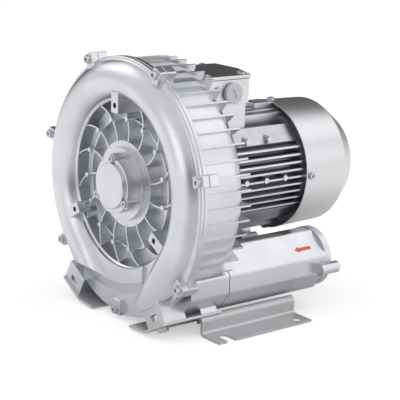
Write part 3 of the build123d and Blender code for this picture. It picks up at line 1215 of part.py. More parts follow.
def blind_plug():
    """Round slotted plug in the right side of the box."""
    seat = BOX_HALF_WIDTH + SEAL_RING
    head = Rot(0, 90, 0) * Cylinder(PLUG_HEAD_R, PLUG_HEAD_THICK)
    head = Pos(seat + PLUG_HEAD_THICK / 2, PLUG_Y, PLUG_Z) * head
    head = fillet(head.edges().group_by(Axis.X)[-1], PLUG_EDGE_R)
    start = BOX_HALF_WIDTH - BOX_WALL - THREAD_END
    thread = Pos((start + seat) / 2, PLUG_Y, PLUG_Z) * Rot(0, 90, 0) * Cylinder(PLUG_THREAD_R, seat - start)
    slot = Pos(seat + PLUG_HEAD_THICK, PLUG_Y, PLUG_Z) * Rot(PLUG_SLOT_ANGLE, 0, 0)
    return head + thread - slot * Box(2 * PLUG_SLOT_DEPTH, PLUG_SLOT_WIDTH, PLUG_SLOT_LENGTH)


def plug_seal():
    ring = Cylinder(PLUG_HEAD_R - GASKET_INSET, SEAL_RING)
    ring -= Cylinder(PLUG_THREAD_R + SCREW_CLEARANCE, 2 * SEAL_RING)
    return Pos(BOX_HALF_WIDTH + SEAL_RING / 2, PLUG_Y, PLUG_Z) * Rot(0, 90, 0) * ring


def cable_gland():
    """Body of the cable gland in the left side of the box, with its clear bore."""
    end = BOX_HALF_WIDTH + GLAND_HEX + GLAND_NECK
    start = BOX_HALF_WIDTH - BOX_WALL - THREAD_END
    wall = Pos(-BOX_HALF_WIDTH, PLUG_Y, PLUG_Z)
    hexagon = wall * Rot(0, -90, 0) * extrude(RegularPolygon(GLAND_R, 6), GLAND_HEX)
    neck = Pos(-(start + end) / 2, PLUG_Y, PLUG_Z) * Rot(0, 90, 0) * Cylinder(PLUG_THREAD_R, end - start)
    bore = wall * Rot(0, 90, 0) * Cylinder(GLAND_BORE_R, 4 * GLAND_HEX + 2 * GLAND_NECK)
    return hexagon + neck - bore


def gland_nut():
    """Domed nut screwed over the neck of the gland."""
    start = BOX_HALF_WIDTH + GLAND_HEX
    end = start + GLAND_NECK + GLAND_DOME
    dome = Pos(-(start + end) / 2, PLUG_Y, PLUG_Z) * Rot(0, 90, 0) * Cylinder(GLAND_R - 1.0, end - start)
    dome = fillet(dome.edges().group_by(Axis.X)[0], GLAND_EDGE_R)
    space = Rot(0, 90, 0) * Cylinder(PLUG_THREAD_R + SCREW_CLEARANCE, 2 * GLAND_NECK)
    space = Pos(-start, PLUG_Y, PLUG_Z) * space
    bore = Pos(-end, PLUG_Y, PLUG_Z) * Rot(0, 90, 0) * Cylinder(GLAND_BORE_R, 4 * GLAND_DOME)
    return dome - space - bore


def earth_screw():
    one = Rot(0, 0, 90) * screw(M4_R, M4_HEAD_R, M4_HEAD, BOX_WALL + 2.0)
    return Pos(BOX_HALF_WIDTH, EARTH_Y, EARTH_Z) * one


# All pieces, each written to its own file

def save_casing():
    save("front_cover", front_cover())
    save("bearing_cap", bearing_cap())
    save("bearing_cap_screws", *bearing_cap_screws())
    save("cover_screws", *cover_screws())
    save("impeller_housing", impeller_housing())
    save("motor_screws", *motor_screws())
    save("front_shaft_seal", shaft_seal(DISH_FLOOR_Y + DISH_FLOOR_THICK - SEAL_WIDTH))
    save("rear_shaft_seal", shaft_seal(REAR_WALL_Y + SEAL_LIP))


def save_silencers():
    for side, turn in (("right", lambda shape: shape), ("left", mirrored)):
        save("silencer_" + side, turn(silencer()))
        save("silencer_gasket_" + side, turn(silencer_gasket()))
        save("silencer_lining_" + side, turn(silencer_lining()))
        save("silencer_tube_" + side, turn(silencer_tube()))
        save("port_flange_" + side, turn(port_flange()))
        save("foot_" + side, turn(foot()))
    save("silencer_screws", *silencer_screws())
    save("flange_screws", *flange_screws())
    save("foot_screws", *foot_screws())
    save("foot_nuts", *foot_nuts())


def save_rotor():
    save("shaft", shaft())
    save("impeller", impeller())
    save("impeller_key", impeller_key())
    save("spacer_sleeve", spacer_sleeve())
    save("rotor_core", rotor_core())
    save("cooling_fan", cooling_fan())
    save("front_circlip", circlip(SHAFT_R, FRONT_BEARING_Y - CIRCLIP_THICK))
    save("rear_circlip", circlip(SHAFT_REAR_R, REAR_BEARING_Y + REAR_BEARING_WIDTH))
    save("fan_circlip", circlip(SHAFT_FAN_R, FAN_HUB_REAR_Y))
    save("preload_washer", preload_washer())
    save_bearing("front", SHAFT_R, FRONT_BEARING_R, FRONT_BEARING_Y, FRONT_BEARING_WIDTH, FRONT_BALL_R,
                 FRONT_BALLS)
    save_bearing("rear", SHAFT_REAR_R, REAR_BEARING_R, REAR_BEARING_Y, REAR_BEARING_WIDTH, REAR_BALL_R,
                 REAR_BALLS)


def save_motor():
    save("motor_housing", motor_housing())
    save("stator_core", stator_core())
    save("stator_windings", *stator_windings())
    save("rear_endshield", rear_endshield())
    save("endshield_screws", *endshield_screws())
    save("fan_cowl", fan_cowl())
    save("cowl_screws", *cowl_screws())


def save_terminal_box():
    save("terminal_box", terminal_box())
    save("terminal_box_gasket", box_gasket())
    save("terminal_box_lid", terminal_box_lid())
    save("lid_screws", *lid_screws())
    save("terminal_block", terminal_block())
    save("terminal_studs", *terminal_studs())
    save("blind_plug", blind_plug())
    save("plug_seal", plug_seal())
    save("cable_gland", cable_gland())
    save("gland_nut", gland_nut())
    save("earth_screw", earth_screw())


os.makedirs("parts", exist_ok=True)
save_casing()
save_silencers()
save_rotor()
save_motor()
save_terminal_box()
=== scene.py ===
import json
import math

import bmesh
import bpy
from bpy.props import FloatProperty, FloatVectorProperty, IntProperty, PointerProperty
from mathutils import Matrix, Vector
from mathutils.bvhtree import BVHTree


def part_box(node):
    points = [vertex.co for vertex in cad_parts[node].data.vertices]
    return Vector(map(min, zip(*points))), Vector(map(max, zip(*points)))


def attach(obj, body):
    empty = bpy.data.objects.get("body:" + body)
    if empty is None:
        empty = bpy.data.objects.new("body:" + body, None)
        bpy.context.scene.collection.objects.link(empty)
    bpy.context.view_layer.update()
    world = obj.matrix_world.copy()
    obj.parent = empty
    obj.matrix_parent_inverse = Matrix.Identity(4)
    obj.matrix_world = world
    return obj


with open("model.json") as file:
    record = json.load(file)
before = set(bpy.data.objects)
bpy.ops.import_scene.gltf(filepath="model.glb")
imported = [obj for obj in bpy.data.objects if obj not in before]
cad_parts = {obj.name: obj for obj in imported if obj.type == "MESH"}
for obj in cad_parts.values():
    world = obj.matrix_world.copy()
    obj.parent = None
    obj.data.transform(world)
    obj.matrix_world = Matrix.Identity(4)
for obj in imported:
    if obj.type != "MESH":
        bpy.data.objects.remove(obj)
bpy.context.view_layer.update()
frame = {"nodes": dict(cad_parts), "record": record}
NODES = frame["nodes"]
RECORD = frame["record"]
SLOT_OF = {part["node"]: part["material_slot"] for part in RECORD["subparts"]}
MOUNT_OF = {mount["name"]: mount for mount in RECORD["mounts"]}

bl_info = {
    "name": "Side-channel air blower",
    "version": (1, 0, 0),
    "blender": (4, 5, 0),
    "location": "View3D > Sidebar > Blower",
    "description": "Finishes, small fittings and studio of a side-channel air blower",
    "category": "Object",
}

# Places and sizes in metres, in the frame of the record
SHAFT_HEIGHT = MOUNT_OF["front_mounting_lugs"]["pos_m"][2]
# Radii between which the painted shade on the motor's casting fades out, from the fins' roots outwards
FIN_ROOT_R, FIN_SHADE_END_R = 0.0685, 0.0800
# Radius and depth of the ports' threads
PORT_R, PORT_DEPTH = 0.0224, 0.020
# Rounded end of the gland's nut, and how much shorter its ribs are than the rest
GLAND_DOME, GLAND_RIB_GAP = 0.004, 0.0012
# How far a washer's hole lies inside its screw's head
WASHER_LAP = 0.0006
# Screws with washers: node, height and radius of the head, way from thread to head or None for outwards
HEADS = (
    ("cover_screws", 0.0045, 0.0050, (0.0, -1.0, 0.0)),
    ("bearing_cap_screws", 0.0032, 0.0043, (0.0, -1.0, 0.0)),
    ("flange_screws", 0.0032, 0.0043, (0.0, 1.0, 0.0)),
    ("lid_screws", 0.0026, 0.0035, (0.0, 0.0, 1.0)),
    ("cowl_screws", 0.0032, 0.0043, None),
)
# The right silencer's arrow: its place, the way the casting faces there, and what sinks in and stands out
ARROW_X, ARROW_Y, ARROW_Z = 0.1064, 0.0255, 0.0838
ARROW_OUT, ARROW_UP = 0.64, 0.77
ARROW_UNDER, ARROW_OVER = -0.0003, 0.0001
# Length of the arrow's head and half the width of its shaft, as shares of its width
ARROW_HEAD, ARROW_SHAFT = 0.82, 0.25
# How far out a ray starts that looks for a surface
RAY_START = 0.05
# Directions of the two black cards from the blower
BACK_CARD = (-0.75, 0.61, 0.26)
FRONT_CARD = (0.81, -0.57, -0.10)
# Softboxes: name, place, width and height
SOFTBOXES = (
    ("front", (0.4, -2.4, 0.9), (1.5, 1.0)),
    ("left", (-1.7, -0.6, 1.5), (1.4, 1.2)),
    ("right", (0.8, 1.4, 1.85), (2.0, 1.4)),
    ("side", (1.85, 1.45, 0.72), (1.3, 0.9)),
)
SOFTBOX_AIM = (0.0, 0.0, 0.17)
# Half the floor's side, and where and how far the glow of its mirror image fades in round the frame's
# origin, a painted shadow under the blower in reflections
FLOOR_REACH = 9.0
FLOOR_FADE = (0.12, 0.48)
FLOOR_MIRROR = 0.85
# Sensor of the camera, in millimetres, and its far limit
SENSOR = 36.0
CAMERA_REACH = 50.0
# Millimetres in a metre, for patterns that are counted in millimetres
IN_MM = 1000.0


# Sizes and colours that a user would change

def length(name, description, default):
    """A length, which the sidebar shows in the scene's unit."""
    return FloatProperty(name=name, description=description, default=default, min=0.0, unit="LENGTH",
                         precision=5)


def tilt(name, description, degrees):
    """An angle, given here in degrees."""
    return FloatProperty(name=name, description=description, default=math.radians(degrees), unit="ROTATION")


def share(name, description, default):
    """A value from nought to one."""
    return FloatProperty(name=name, description=description, default=default, min=0.0, max=1.0)


def amount(name, description, default):
    """A power or a brightness."""
    return FloatProperty(name=name, description=description, default=default, min=0.0)


def colour(name, description, default):
    """A colour without its opacity."""
    return FloatVectorProperty(name=name, description=description, default=default, subtype="COLOR",
                               size=3, min=0.0, max=1.0)


class BlowerFinish(bpy.types.PropertyGroup):
    """Colours and gloss of the blower's materials"""
    cast: colour("Cast aluminium", "Colour of the blasted die castings", (0.72, 0.73, 0.76))
    cast_dull: colour("Cast aluminium, dull", "Colour of the castings' duller patches", (0.65, 0.66, 0.69))
    cast_roughness: share("Cast roughness", "Roughness of the blasted skin", 0.31)
    cast_metallic: share("Cast metallic", "How metallic the blasted skin looks", 0.94)
    # Painted shade: the colour of the motor's casting at its fins' roots, where shade falls between the
    # fins
    fin_root_shade: colour("Fin roots", "Colour of the shaded roots of the motor's fins", (0.20, 0.20, 0.22))
    cowl: colour("Cowl sheet", "Colour of the spun sheet of the cowl", (0.76, 0.77, 0.79))
    zinc: colour("Zinc", "Colour of the plated feet and screws", (0.68, 0.68, 0.70))
    steel: colour("Ground steel", "Colour of bearings and circlips", (0.56, 0.57, 0.59))
    core: colour("Core sheet", "Colour of the laminated cores", (0.22, 0.22, 0.24))
    copper: colour("Copper", "Colour of the enamelled wire", (0.62, 0.24, 0.11))
    brass: colour("Brass", "Colour of the terminal studs", (0.72, 0.52, 0.22))
    rubber: colour("Rubber", "Colour of seals and gaskets", (0.025, 0.025, 0.026))
    plastic: colour("Grey plastic", "Colour of the plug and the gland", (0.74, 0.75, 0.77))
    black: colour("Black plastic", "Colour of the fan and the terminal block", (0.03, 0.03, 0.032))
    foam: colour("Foam", "Colour of the silencer lining", (0.16, 0.16, 0.17))
    sign: colour("Flow arrow", "Colour of the printed flow arrow", (0.86, 0.12, 0.05))


class BlowerFittings(bpy.types.PropertyGroup):
    """Sizes of the small fittings"""
    washer_thick: length("Washer thickness", "Thickness of the washers under the screw heads", 0.0010)
    washer_rim: length("Washer rim", "How far a washer stands out past its screw head", 0.0010)
    thread_pitch: length("Thread pitch", "Pitch of the thread in the ports", 0.00231)
    thread_depth: length("Thread depth", "Height of the thread's crests in the ports", 0.0010)
    nut_ribs: IntProperty(name="Gland ribs", description="Grip ribs on the gland's nut", default=16, min=3)
    nut_rib_width: length("Gland rib width", "Width of a grip rib", 0.0013)
    nut_rib_height: length("Gland rib height", "How far a grip rib stands out", 0.0005)
    arrow_length: length("Arrow length", "Length of the flow arrow", 0.0272)
    arrow_width: length("Arrow width", "Width of the arrow's head", 0.0094)


class BlowerStudio(bpy.types.PropertyGroup):
    """Camera and light"""
    eye: FloatVectorProperty(name="Camera position", description="Where the camera stands", subtype="XYZ",
                             unit="LENGTH", default=(1.21146, -1.02864, 0.53225), precision=4)
    azimuth: tilt("Azimuth", "Camera's turn to the right of the shaft's line", 51.262)
    elevation: tilt("Elevation", "Camera's height angle", 14.371)
    roll: tilt("Roll", "Camera's roll about its view", 2.055)
    lens: FloatProperty(name="Lens", description="Focal length in millimetres", default=113.66)
    front: amount("Front softbox", "Power of the lamp before the cover, in watts", 3.5)
    left: amount("Left softbox", "Power of the lamp over the cover's left, in watts", 5.0)
    right: amount("Right softbox", "Power of the lamp over the motor's right, in watts", 5.0)
    side: amount("Side softbox", "Power of the low lamp at the motor's right, in watts", 2.0)
    tent: amount("Tent", "Brightness of the white studio round the blower", 0.8)
    floor_glow: amount("Floor white", "What makes the floor look white from afar", 0.48)


# Node trees

class Wire:
    """An output socket in an expression: the operators add Math nodes"""

    def __init__(self, tree, socket):
        self.tree = tree
        self.socket = socket

    def maths(self, operation, first, second):
        """A Math node of two values, each a number or a wire."""
        return self.tree.node("ShaderNodeMath", {"operation": operation}, {0: first, 1: second})

    def __add__(self, other):
        return self.maths("ADD", self, other)

    __radd__ = __add__

    def __mul__(self, other):
        return self.maths("MULTIPLY", self, other)

    __rmul__ = __mul__

    def __sub__(self, other):
        return self.maths("SUBTRACT", self, other)

    def __rsub__(self, other):
        return self.maths("SUBTRACT", other, self)

    def waves(self, half):
        """Rise to one over half a pitch and fall back over the next."""
        return self.maths("PINGPONG", self, half) * (1.0 / half)


class Tree:
    """Adds nodes to a shader or geometry tree and joins them"""

    def __init__(self, tree):
        self.tree = tree

    def node(self, kind, settings=None, sockets=None, out=0):
        """Add one node, set its settings first and then fill its sockets."""
        made = self.tree.nodes.new(kind)
        for key, value in (settings or {}).items():
            setattr(made, key, value)
        for key, value in (sockets or {}).items():
            if isinstance(value, Wire):
                self.tree.links.new(value.socket, made.inputs[key])
            else:
                made.inputs[key].default_value = value
        return Wire(self, made.outputs[out]) if len(made.outputs) else made

    def split(self, vector):
        """The x, y and z of a vector."""
        made = self.node("ShaderNodeSeparateXYZ", sockets={0: vector}).socket.node
        return [Wire(self, socket) for socket in made.outputs]

    def join(self, x, y, z):
        """A vector of three values."""
        return self.node("ShaderNodeCombineXYZ", sockets={0: x, 1: y, 2: z})

    def span(self, value, start, end, low=0.0, high=1.0, course="SMOOTHSTEP"):
        """Go from a low to a high level while a value goes from a start to an end."""
        sockets = {"Value": value, "From Min": start, "From Max": end, "To Min": low, "To Max": high}
        return self.node("ShaderNodeMapRange", {"interpolation_type": course}, sockets)


class Finish(Tree):
    """A material with one Principled shader"""

    def __init__(self, name):
        self.material = bpy.data.materials.new(name)
        self.material.use_nodes = True
        super().__init__(self.material.node_tree)
        self.tree.nodes.clear()

    def place(self):
        """Object coordinates, in metres."""
        return self.node("ShaderNodeTexCoord", out=3)

    def noise(self, where, scale, detail=3.0, roughness=0.55):
        """Cloudy noise; the scale counts its clouds in a metre."""
        sockets = {"Vector": where, "Scale": scale, "Detail": detail, "Roughness": roughness}
        return self.node("ShaderNodeTexNoise", {"noise_dimensions": "3D"}, sockets)

    def ramp(self, value, start, end):
        """Black up to a start, white from an end and grey between."""
        made = self.node("ShaderNodeValToRGB", sockets={0: value})
        for element, place in zip(made.socket.node.color_ramp.elements, (start, end)):
            element.position = place
        return made

    def blend(self, share, first, second):
        """Mix two colours by a share."""
        settings = {"data_type": "RGBA", "blend_type": "MIX"}
        sockets = {0: share, 6: (*first, 1.0), 7: (*second, 1.0)}
        return self.node("ShaderNodeMix", settings, sockets, out=2)

    def stretch(self, where, x, y, z):
        """Scale a pattern's coordinates along each axis."""
        sockets = {"Vector": where, "Scale": (x, y, z)}
        return self.node("ShaderNodeMapping", {"vector_type": "POINT"}, sockets)

    def bump(self, height, strength, distance, edge=0.0):
        """Surface relief; an edge radius also rounds the corners that the light sees."""
        sockets = {"Height": height, "Strength": strength, "Distance": distance}
        if edge > 0.0:
            sockets["Normal"] = self.node("ShaderNodeBevel", {"samples": 4}, {"Radius": edge})
        return self.node("ShaderNodeBump", sockets=sockets)

    def surface(self, **sockets):
        """The Principled shader, wired to the output; socket names have _ for a space."""
        named = {key.replace("_", " "): value for key, value in sockets.items()}
        shader = self.node("ShaderNodeBsdfPrincipled", sockets=named)
        self.node("ShaderNodeOutputMaterial", sockets={"Surface": shader})
        return self.material


def darker(base, level):
    """A colour brought down to a level of its brightness."""
    return [channel * level for channel in base]


def around_shaft(finish, where):
    """Distance from the shaft's line, place along it, both in metres, and angle round it."""
    x, along, z = finish.split(where)
    height = z - SHAFT_HEIGHT
    radius = finish.node("ShaderNodeMath", {"operation": "SQRT"}, {0: x * x + height * height})
    return radius, along, height.maths("ARCTAN2", height, x)


def blasted_grain(finish, where):
    """Fine grain of a blasted skin, and its relief with softened edges."""
    grain = finish.noise(where, 1400.0, 2.0, 0.7)
    return grain, finish.bump(grain, 0.07, 0.0003, 0.0007)


# Finishes

def blasted_casting(name, base, dull, roughness, metallic):
    """Blasted die casting: soft mottling, fine grain and softened edges."""
    finish = Finish(name)
    where = finish.place()
    clouds = finish.ramp(finish.noise(where, 22.0, 4.0), 0.32, 0.68)
    grain, relief = blasted_grain(finish, where)
    shade = finish.blend(clouds, dull, base)
    gloss = grain * 0.12 + clouds * -0.05 + (roughness - 0.04)
    return finish.surface(Base_Color=shade, Roughness=gloss, Metallic=metallic, Normal=relief)


def finned_casting(name, base, root, roughness, metallic):
    """The motor's casting, with painted shade between its fins, darkest at their roots."""
    finish = Finish(name)
    where = finish.place()
    radius, _, _ = around_shaft(finish, where)
    clouds = finish.noise(where, 60.0, 4.0)
    # Painted shade: darker towards the fins' roots, fading to the plain casting at the outer radius
    unshaded = finish.span(radius + clouds * 0.004, FIN_ROOT_R, FIN_SHADE_END_R, course="LINEAR")
    shade = finish.blend(unshaded, root, base)
    grain, relief = blasted_grain(finish, where)
    gloss = grain * 0.12 + roughness
    return finish.surface(Base_Color=shade, Roughness=gloss, Metallic=metallic, Normal=relief)


def spun_sheet(name, base):
    """Sheet brushed round the shaft, with fine rings of drawn lines."""
    finish = Finish(name)
    radius, along, angle = around_shaft(finish, finish.place())
    lines = finish.join(radius * 1600.0, along * 1600.0, angle * 2.5)
    streak = finish.noise(lines, 1.0, 3.0, 0.6)
    broad = finish.noise(finish.join(radius * 110.0, along * 110.0, angle * 1.2), 1.0, 2.0)
    shade = finish.blend(streak * 0.7 + broad * 0.3, darker(base, 0.86), base)
    gloss = streak * 0.14 + 0.27
    relief = finish.bump(streak, 0.10, 0.0003, 0.0006)
    return finish.surface(Base_Color=shade, Roughness=gloss, Metallic=0.88, Normal=relief)


def zinc_plate(name, base, scale, metallic):
    """Zinc plating over rolled steel, with a faint spangle."""
    finish = Finish(name)
    where = finish.place()
    spangle = finish.noise(where, scale, 5.0, 0.6)
    rolled = finish.noise(finish.stretch(where, 60.0, 600.0, 600.0), 1.0, 3.0)
    shade = finish.blend(spangle * 0.6 + rolled * 0.4, darker(base, 0.82), base)
    gloss = spangle * 0.18 + 0.26
    relief = finish.bump(rolled, 0.08, 0.0003, 0.0004)
    return finish.surface(Base_Color=shade, Roughness=gloss, Metallic=metallic, Normal=relief)


def ground_steel(name, base):
    """Turned and ground steel with rings round the shaft."""
    finish = Finish(name)
    radius, along, angle = around_shaft(finish, finish.place())
    rings = finish.noise(finish.join(radius * 2600.0, along * 2600.0, angle * 1.0), 1.0, 2.0)
    shade = finish.blend(rings, darker(base, 0.88), base)
    relief = finish.bump(rings, 0.06, 0.0002, 0.0003)
    return finish.surface(Base_Color=shade, Roughness=rings * 0.12 + 0.18, Metallic=0.95, Normal=relief)


def stacked_core(name, base):
    """Stack of thin core sheets along the shaft."""
    finish = Finish(name)
    where = finish.place()
    _, along, _ = around_shaft(finish, where)
    sheets = (along * IN_MM).waves(0.25)
    stain = finish.noise(where, 90.0)
    shade = finish.blend(sheets * stain, darker(base, 0.6), base)
    relief = finish.bump(sheets, 0.4, 0.0003)
    return finish.surface(Base_Color=shade, Roughness=stain * 0.2 + 0.35, Metallic=0.8, Normal=relief)


def wound_copper(name, base):
    """Enamelled wire laid round the core, soaked in varnish."""
    finish = Finish(name)
    where = finish.place()
    radius, along, _ = around_shaft(finish, where)
    wires = ((radius + along) * IN_MM).waves(0.5)
    blot = finish.noise(where, 140.0)
    shade = finish.blend(blot, darker(base, 0.55), base)
    relief = finish.bump(wires, 0.8, 0.0004)
    return finish.surface(Base_Color=shade, Roughness=blot * 0.2 + 0.25, Metallic=0.6, Normal=relief)


def moulded(name, base, roughness, grain_scale, strength=0.15):
    """Moulded plastic or rubber with a fine grain."""
    finish = Finish(name)
    where = finish.place()
    grain = finish.noise(where, grain_scale, 3.0, 0.6)
    cloud = finish.noise(where, 45.0)
    shade = finish.blend(cloud, darker(base, 0.88), base)
    relief = finish.bump(grain, strength, 0.0003, 0.0004)
    return finish.surface(Base_Color=shade, Roughness=grain * 0.12 + roughness, Normal=relief)


def open_foam(name, base):
    """Open-cell foam: small round cells."""
    finish = Finish(name)
    sockets = {"Vector": finish.place(), "Scale": 620.0}
    cells = finish.node("ShaderNodeTexVoronoi", {"feature": "F1"}, sockets)
    shade = finish.blend(cells, darker(base, 0.3), base)
    relief = finish.bump(cells, 0.9, 0.0008)
    return finish.surface(Base_Color=shade, Roughness=0.95, Normal=relief)


def printed_sign(name, base):
    """Flat printed colour with a slightly worn surface."""
    finish = Finish(name)
    wear = finish.ramp(finish.noise(finish.place(), 700.0, 4.0, 0.7), 0.25, 0.45)
    shade = finish.blend(wear, [min(1.0, channel * 0.8 + 0.06) for channel in base], base)
    return finish.surface(Base_Color=shade, Roughness=wear * -0.08 + 0.5)


def brass_finish(name, base):
    """Turned brass with a little tarnish."""
    finish = Finish(name)
    tarnish = finish.noise(finish.place(), 260.0, 4.0)
    shade = finish.blend(tarnish, darker(base, 0.7), base)
    relief = finish.bump(tarnish, 0.05, 0.0002, 0.0002)
    return finish.surface(Base_Color=shade, Roughness=tarnish * 0.2 + 0.2, Metallic=0.95, Normal=relief)


def dress(material, *slots):
    """Give a finish to every CAD node of the named slots."""
    for node, slot in SLOT_OF.items():
        if slot in slots:
            NODES[node].data.materials.clear()
            NODES[node].data.materials.append(material)


def added(name, data):
    """A new object in the scene."""
    made = bpy.data.objects.new(name, data)
    bpy.context.scene.collection.objects.link(made)
    return made


# Geometry trees for what repeats

class Pattern(Tree):
    """A geometry tree with named sizes, made plain mesh at the end"""

    def __init__(self, name, *labels):
        super().__init__(bpy.data.node_groups.new(name, "GeometryNodeTree"))
        face = self.tree.interface
        face.new_socket("Geometry", in_out="INPUT", socket_type="NodeSocketGeometry")
        self.keys = {}
        for label in labels:
            made = face.new_socket(label, in_out="INPUT", socket_type="NodeSocketFloat")
            self.keys[label] = made.identifier
        face.new_socket("Geometry", in_out="OUTPUT", socket_type="NodeSocketGeometry")
        entry = self.tree.nodes.new("NodeGroupInput")
        self.places = Wire(self, entry.outputs["Geometry"])
        self.sizes = [Wire(self, entry.outputs[label]) for label in labels]

    def circle(self, points, radius):
        """A circle, or with few points a regular polygon."""
        sockets = {"Resolution": points, "Radius": radius}
        return self.node("GeometryNodeCurvePrimitiveCircle", {"mode": "RADIUS"}, sockets)

    def sweep(self, curve, section):
        """A section carried along a curve, its ends closed."""
        sockets = {"Curve": curve, "Profile Curve": section, "Fill Caps": True}
        return self.node("GeometryNodeCurveToMesh", sockets=sockets)

    def end(self, geometry, material):
        """Realize the instances, set the material and close the tree."""
        real = self.node("GeometryNodeRealizeInstances", sockets={0: geometry})
        painted = self.node("GeometryNodeSetMaterial", sockets={"Geometry": real, "Material": material})
        self.node("NodeGroupOutput", sockets={0: painted})

    def make(self, name, places, values, body):
        """Run the tree on a mesh of places and keep the result as a plain mesh on a body."""
        start = bpy.data.meshes.new(name)
        start.from_pydata([place for place, facing in places], [], [])
        axis = start.attributes.new("facing", "FLOAT_VECTOR", "POINT")
        for slot, (place, facing) in zip(axis.data, places):
            slot.vector = facing
        piece = added(name, start)
        modifier = piece.modifiers.new(name, "NODES")
        modifier.node_group = self.tree
        for label, value in values.items():
            modifier[self.keys[label]] = value
        bpy.context.view_layer.update()
        graph = bpy.context.evaluated_depsgraph_get()
        plain = bpy.data.meshes.new_from_object(piece.evaluated_get(graph))
        piece.modifiers.clear()
        piece.data = plain
        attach(piece, body)
        return piece


def stand_on(pattern, shape, material):
    """Put a shape on each of the given places, its Z along the place's facing."""
    settings = {"data_type": "FLOAT_VECTOR"}
    facing = pattern.node("GeometryNodeInputNamedAttribute", settings, {"Name": "facing"})
    turn = pattern.node("FunctionNodeAlignRotationToVector", {"axis": "Z"}, {"Vector": facing})
    sockets = {"Points": pattern.places, "Instance": shape, "Rotation": turn}
    pattern.end(pattern.node("GeometryNodeInstanceOnPoints", sockets=sockets), material)
    return pattern


def washer_pattern(material):
    """Plain washers, each lying on its place."""
    pattern = Pattern("washers", "Outer", "Inner", "Thickness")
    outer, inner, thick = pattern.sizes
    middle = pattern.circle(32, (outer + inner) * 0.5)
    section = pattern.node("GeometryNodeCurvePrimitiveQuadrilateral", {"mode": "RECTANGLE"},
                           {0: outer - inner, 1: thick})
    lift = pattern.join(0.0, 0.0, thick * 0.5)
    lifted = {"Geometry": pattern.sweep(middle, section), "Translation": lift}
    return stand_on(pattern, pattern.node("GeometryNodeTransform", sockets=lifted), material)


def thread_pattern(material):
    """Inside threads: a ridge wound along each place's facing."""
    pattern = Pattern("threads", "Radius", "Pitch", "Turns", "Height")
    radius, pitch, turns, height = pattern.sizes
    winding = {"Resolution": 56, "Rotations": turns, "Start Radius": radius, "End Radius": radius,
               "Height": pitch * turns}
    helix = pattern.node("GeometryNodeCurveSpiral", sockets=winding)
    return stand_on(pattern, pattern.sweep(helix, pattern.circle(4, height)), material)


def rib_pattern(material):
    """Small round-edged ribs, each lying on its place along its facing."""
    pattern = Pattern("grip_ribs", "Length", "Width")
    span, width = pattern.sizes
    ends = {"Start": pattern.join(0.0, 0.0, span * -0.5), "End": pattern.join(0.0, 0.0, span * 0.5)}
    line = pattern.node("GeometryNodeCurvePrimitiveLine", {"mode": "POINTS"}, ends)
    return stand_on(pattern, pattern.sweep(line, pattern.circle(8, width * 0.5)), material)


# Places read from the CAD nodes

def solids_of(node):
    """The lowest and highest corner of each separate solid of a CAD node."""
    mesh = NODES[node].data
    keys = [tuple(round(value, 6) for value in vertex.co) for vertex in mesh.vertices]
    parent = {key: key for key in keys}

    def top(key):
        while parent[key] != key:
            parent[key] = parent[parent[key]]
            key = parent[key]
        return key

    for face in mesh.polygons:
        first, *others = face.vertices
        for other in others:
            parent[top(keys[other])] = top(keys[first])
    groups = {}
    for key in parent:
        groups.setdefault(top(key), []).append(key)
    return [(Vector(map(min, *group)), Vector(map(max, *group))) for group in groups.values()]


def head_places(node, head, way):
    """Where each screw's head starts on its seat, and the way from the thread to the head."""
    places = []
    for low, high in solids_of(node):
        centre = (low + high) * 0.5
        along = Vector(way) if way else Vector((centre.x, 0.0, centre.z - SHAFT_HEIGHT)).normalized()
        reach = sum(abs(side * part) for side, part in zip(high - low, along)) * 0.5 - head
        places.append((centre + along * reach, along))
    return places


def seated(node, place, out):
    """The point of a CAD node's surface under a place, and the surface's outward direction there."""
    mesh = NODES[node].data
    points = [vertex.co.copy() for vertex in mesh.vertices]
    tree = BVHTree.FromPolygons(points, [tuple(face.vertices) for face in mesh.polygons])
    start = Vector(place) + Vector(out) * RAY_START
    point, facing, _, _ = tree.ray_cast(start, -Vector(out))
    if point is None:
        raise RuntimeError(f"nothing of {node} lies under {place}")
    return point, facing


# Operators

class Step:
    """What all the operators share"""
    bl_options = {"REGISTER"}


class BLOWER_OT_castings(Step, bpy.types.Operator):
    """Blasted aluminium on the cover, casings, motor, silencers and terminal box"""
    bl_idname = "blower.castings"
    bl_label = "Castings"

    def execute(self, context):
        look = context.scene.blower_finish
        skin = (look.cast_roughness, look.cast_metallic)
        cast = blasted_casting("blasted_casting", look.cast, look.cast_dull, *skin)
        dress(cast, "cast_aluminium")
        # The motor's casting gets painted shade between its fins
        motor = finned_casting("finned_casting", look.cast, look.fin_root_shade, *skin)
        NODES["motor_housing"].data.materials[0] = motor
        wheel = blasted_casting("wheel_casting", look.cast_dull, look.cast_dull, 0.34, 0.85)
        dress(wheel, "impeller_aluminium")
        return {"FINISHED"}


class BLOWER_OT_sheet_parts(Step, bpy.types.Operator):
    """Brushed sheet on the cowl, zinc on the feet and silencer tubes"""
    bl_idname = "blower.sheet_parts"
    bl_label = "Cowl and feet"

    def execute(self, context):
        look = context.scene.blower_finish
        dress(spun_sheet("spun_sheet", look.cowl), "sheet_aluminium")
        dress(zinc_plate("zinc_sheet", look.zinc, 180.0, 0.5), "zinc_sheet")
        return {"FINISHED"}


class BLOWER_OT_fasteners(Step, bpy.types.Operator):
    """Zinc on the screws and nuts"""
    bl_idname = "blower.fasteners"
    bl_label = "Fasteners"

    def execute(self, context):
        look = context.scene.blower_finish
        dress(zinc_plate("zinc_screws", look.zinc, 500.0, 0.85), "zinc_screws")
        return {"FINISHED"}


class BLOWER_OT_running_parts(Step, bpy.types.Operator):
    """Steel, copper and black plastic on the shaft, bearings, cores, windings and fan"""
    bl_idname = "blower.running_parts"
    bl_label = "Running parts"

    def execute(self, context):
        look = context.scene.blower_finish
        dress(ground_steel("ground_steel", look.steel), "bearing_steel", "shaft_steel")
        dress(stacked_core("stacked_core", look.core), "core_steel")
        dress(wound_copper("wound_copper", look.copper), "copper_windings")
        dress(moulded("black_plastic", look.black, 0.4, 900.0), "black_plastic")
        return {"FINISHED"}


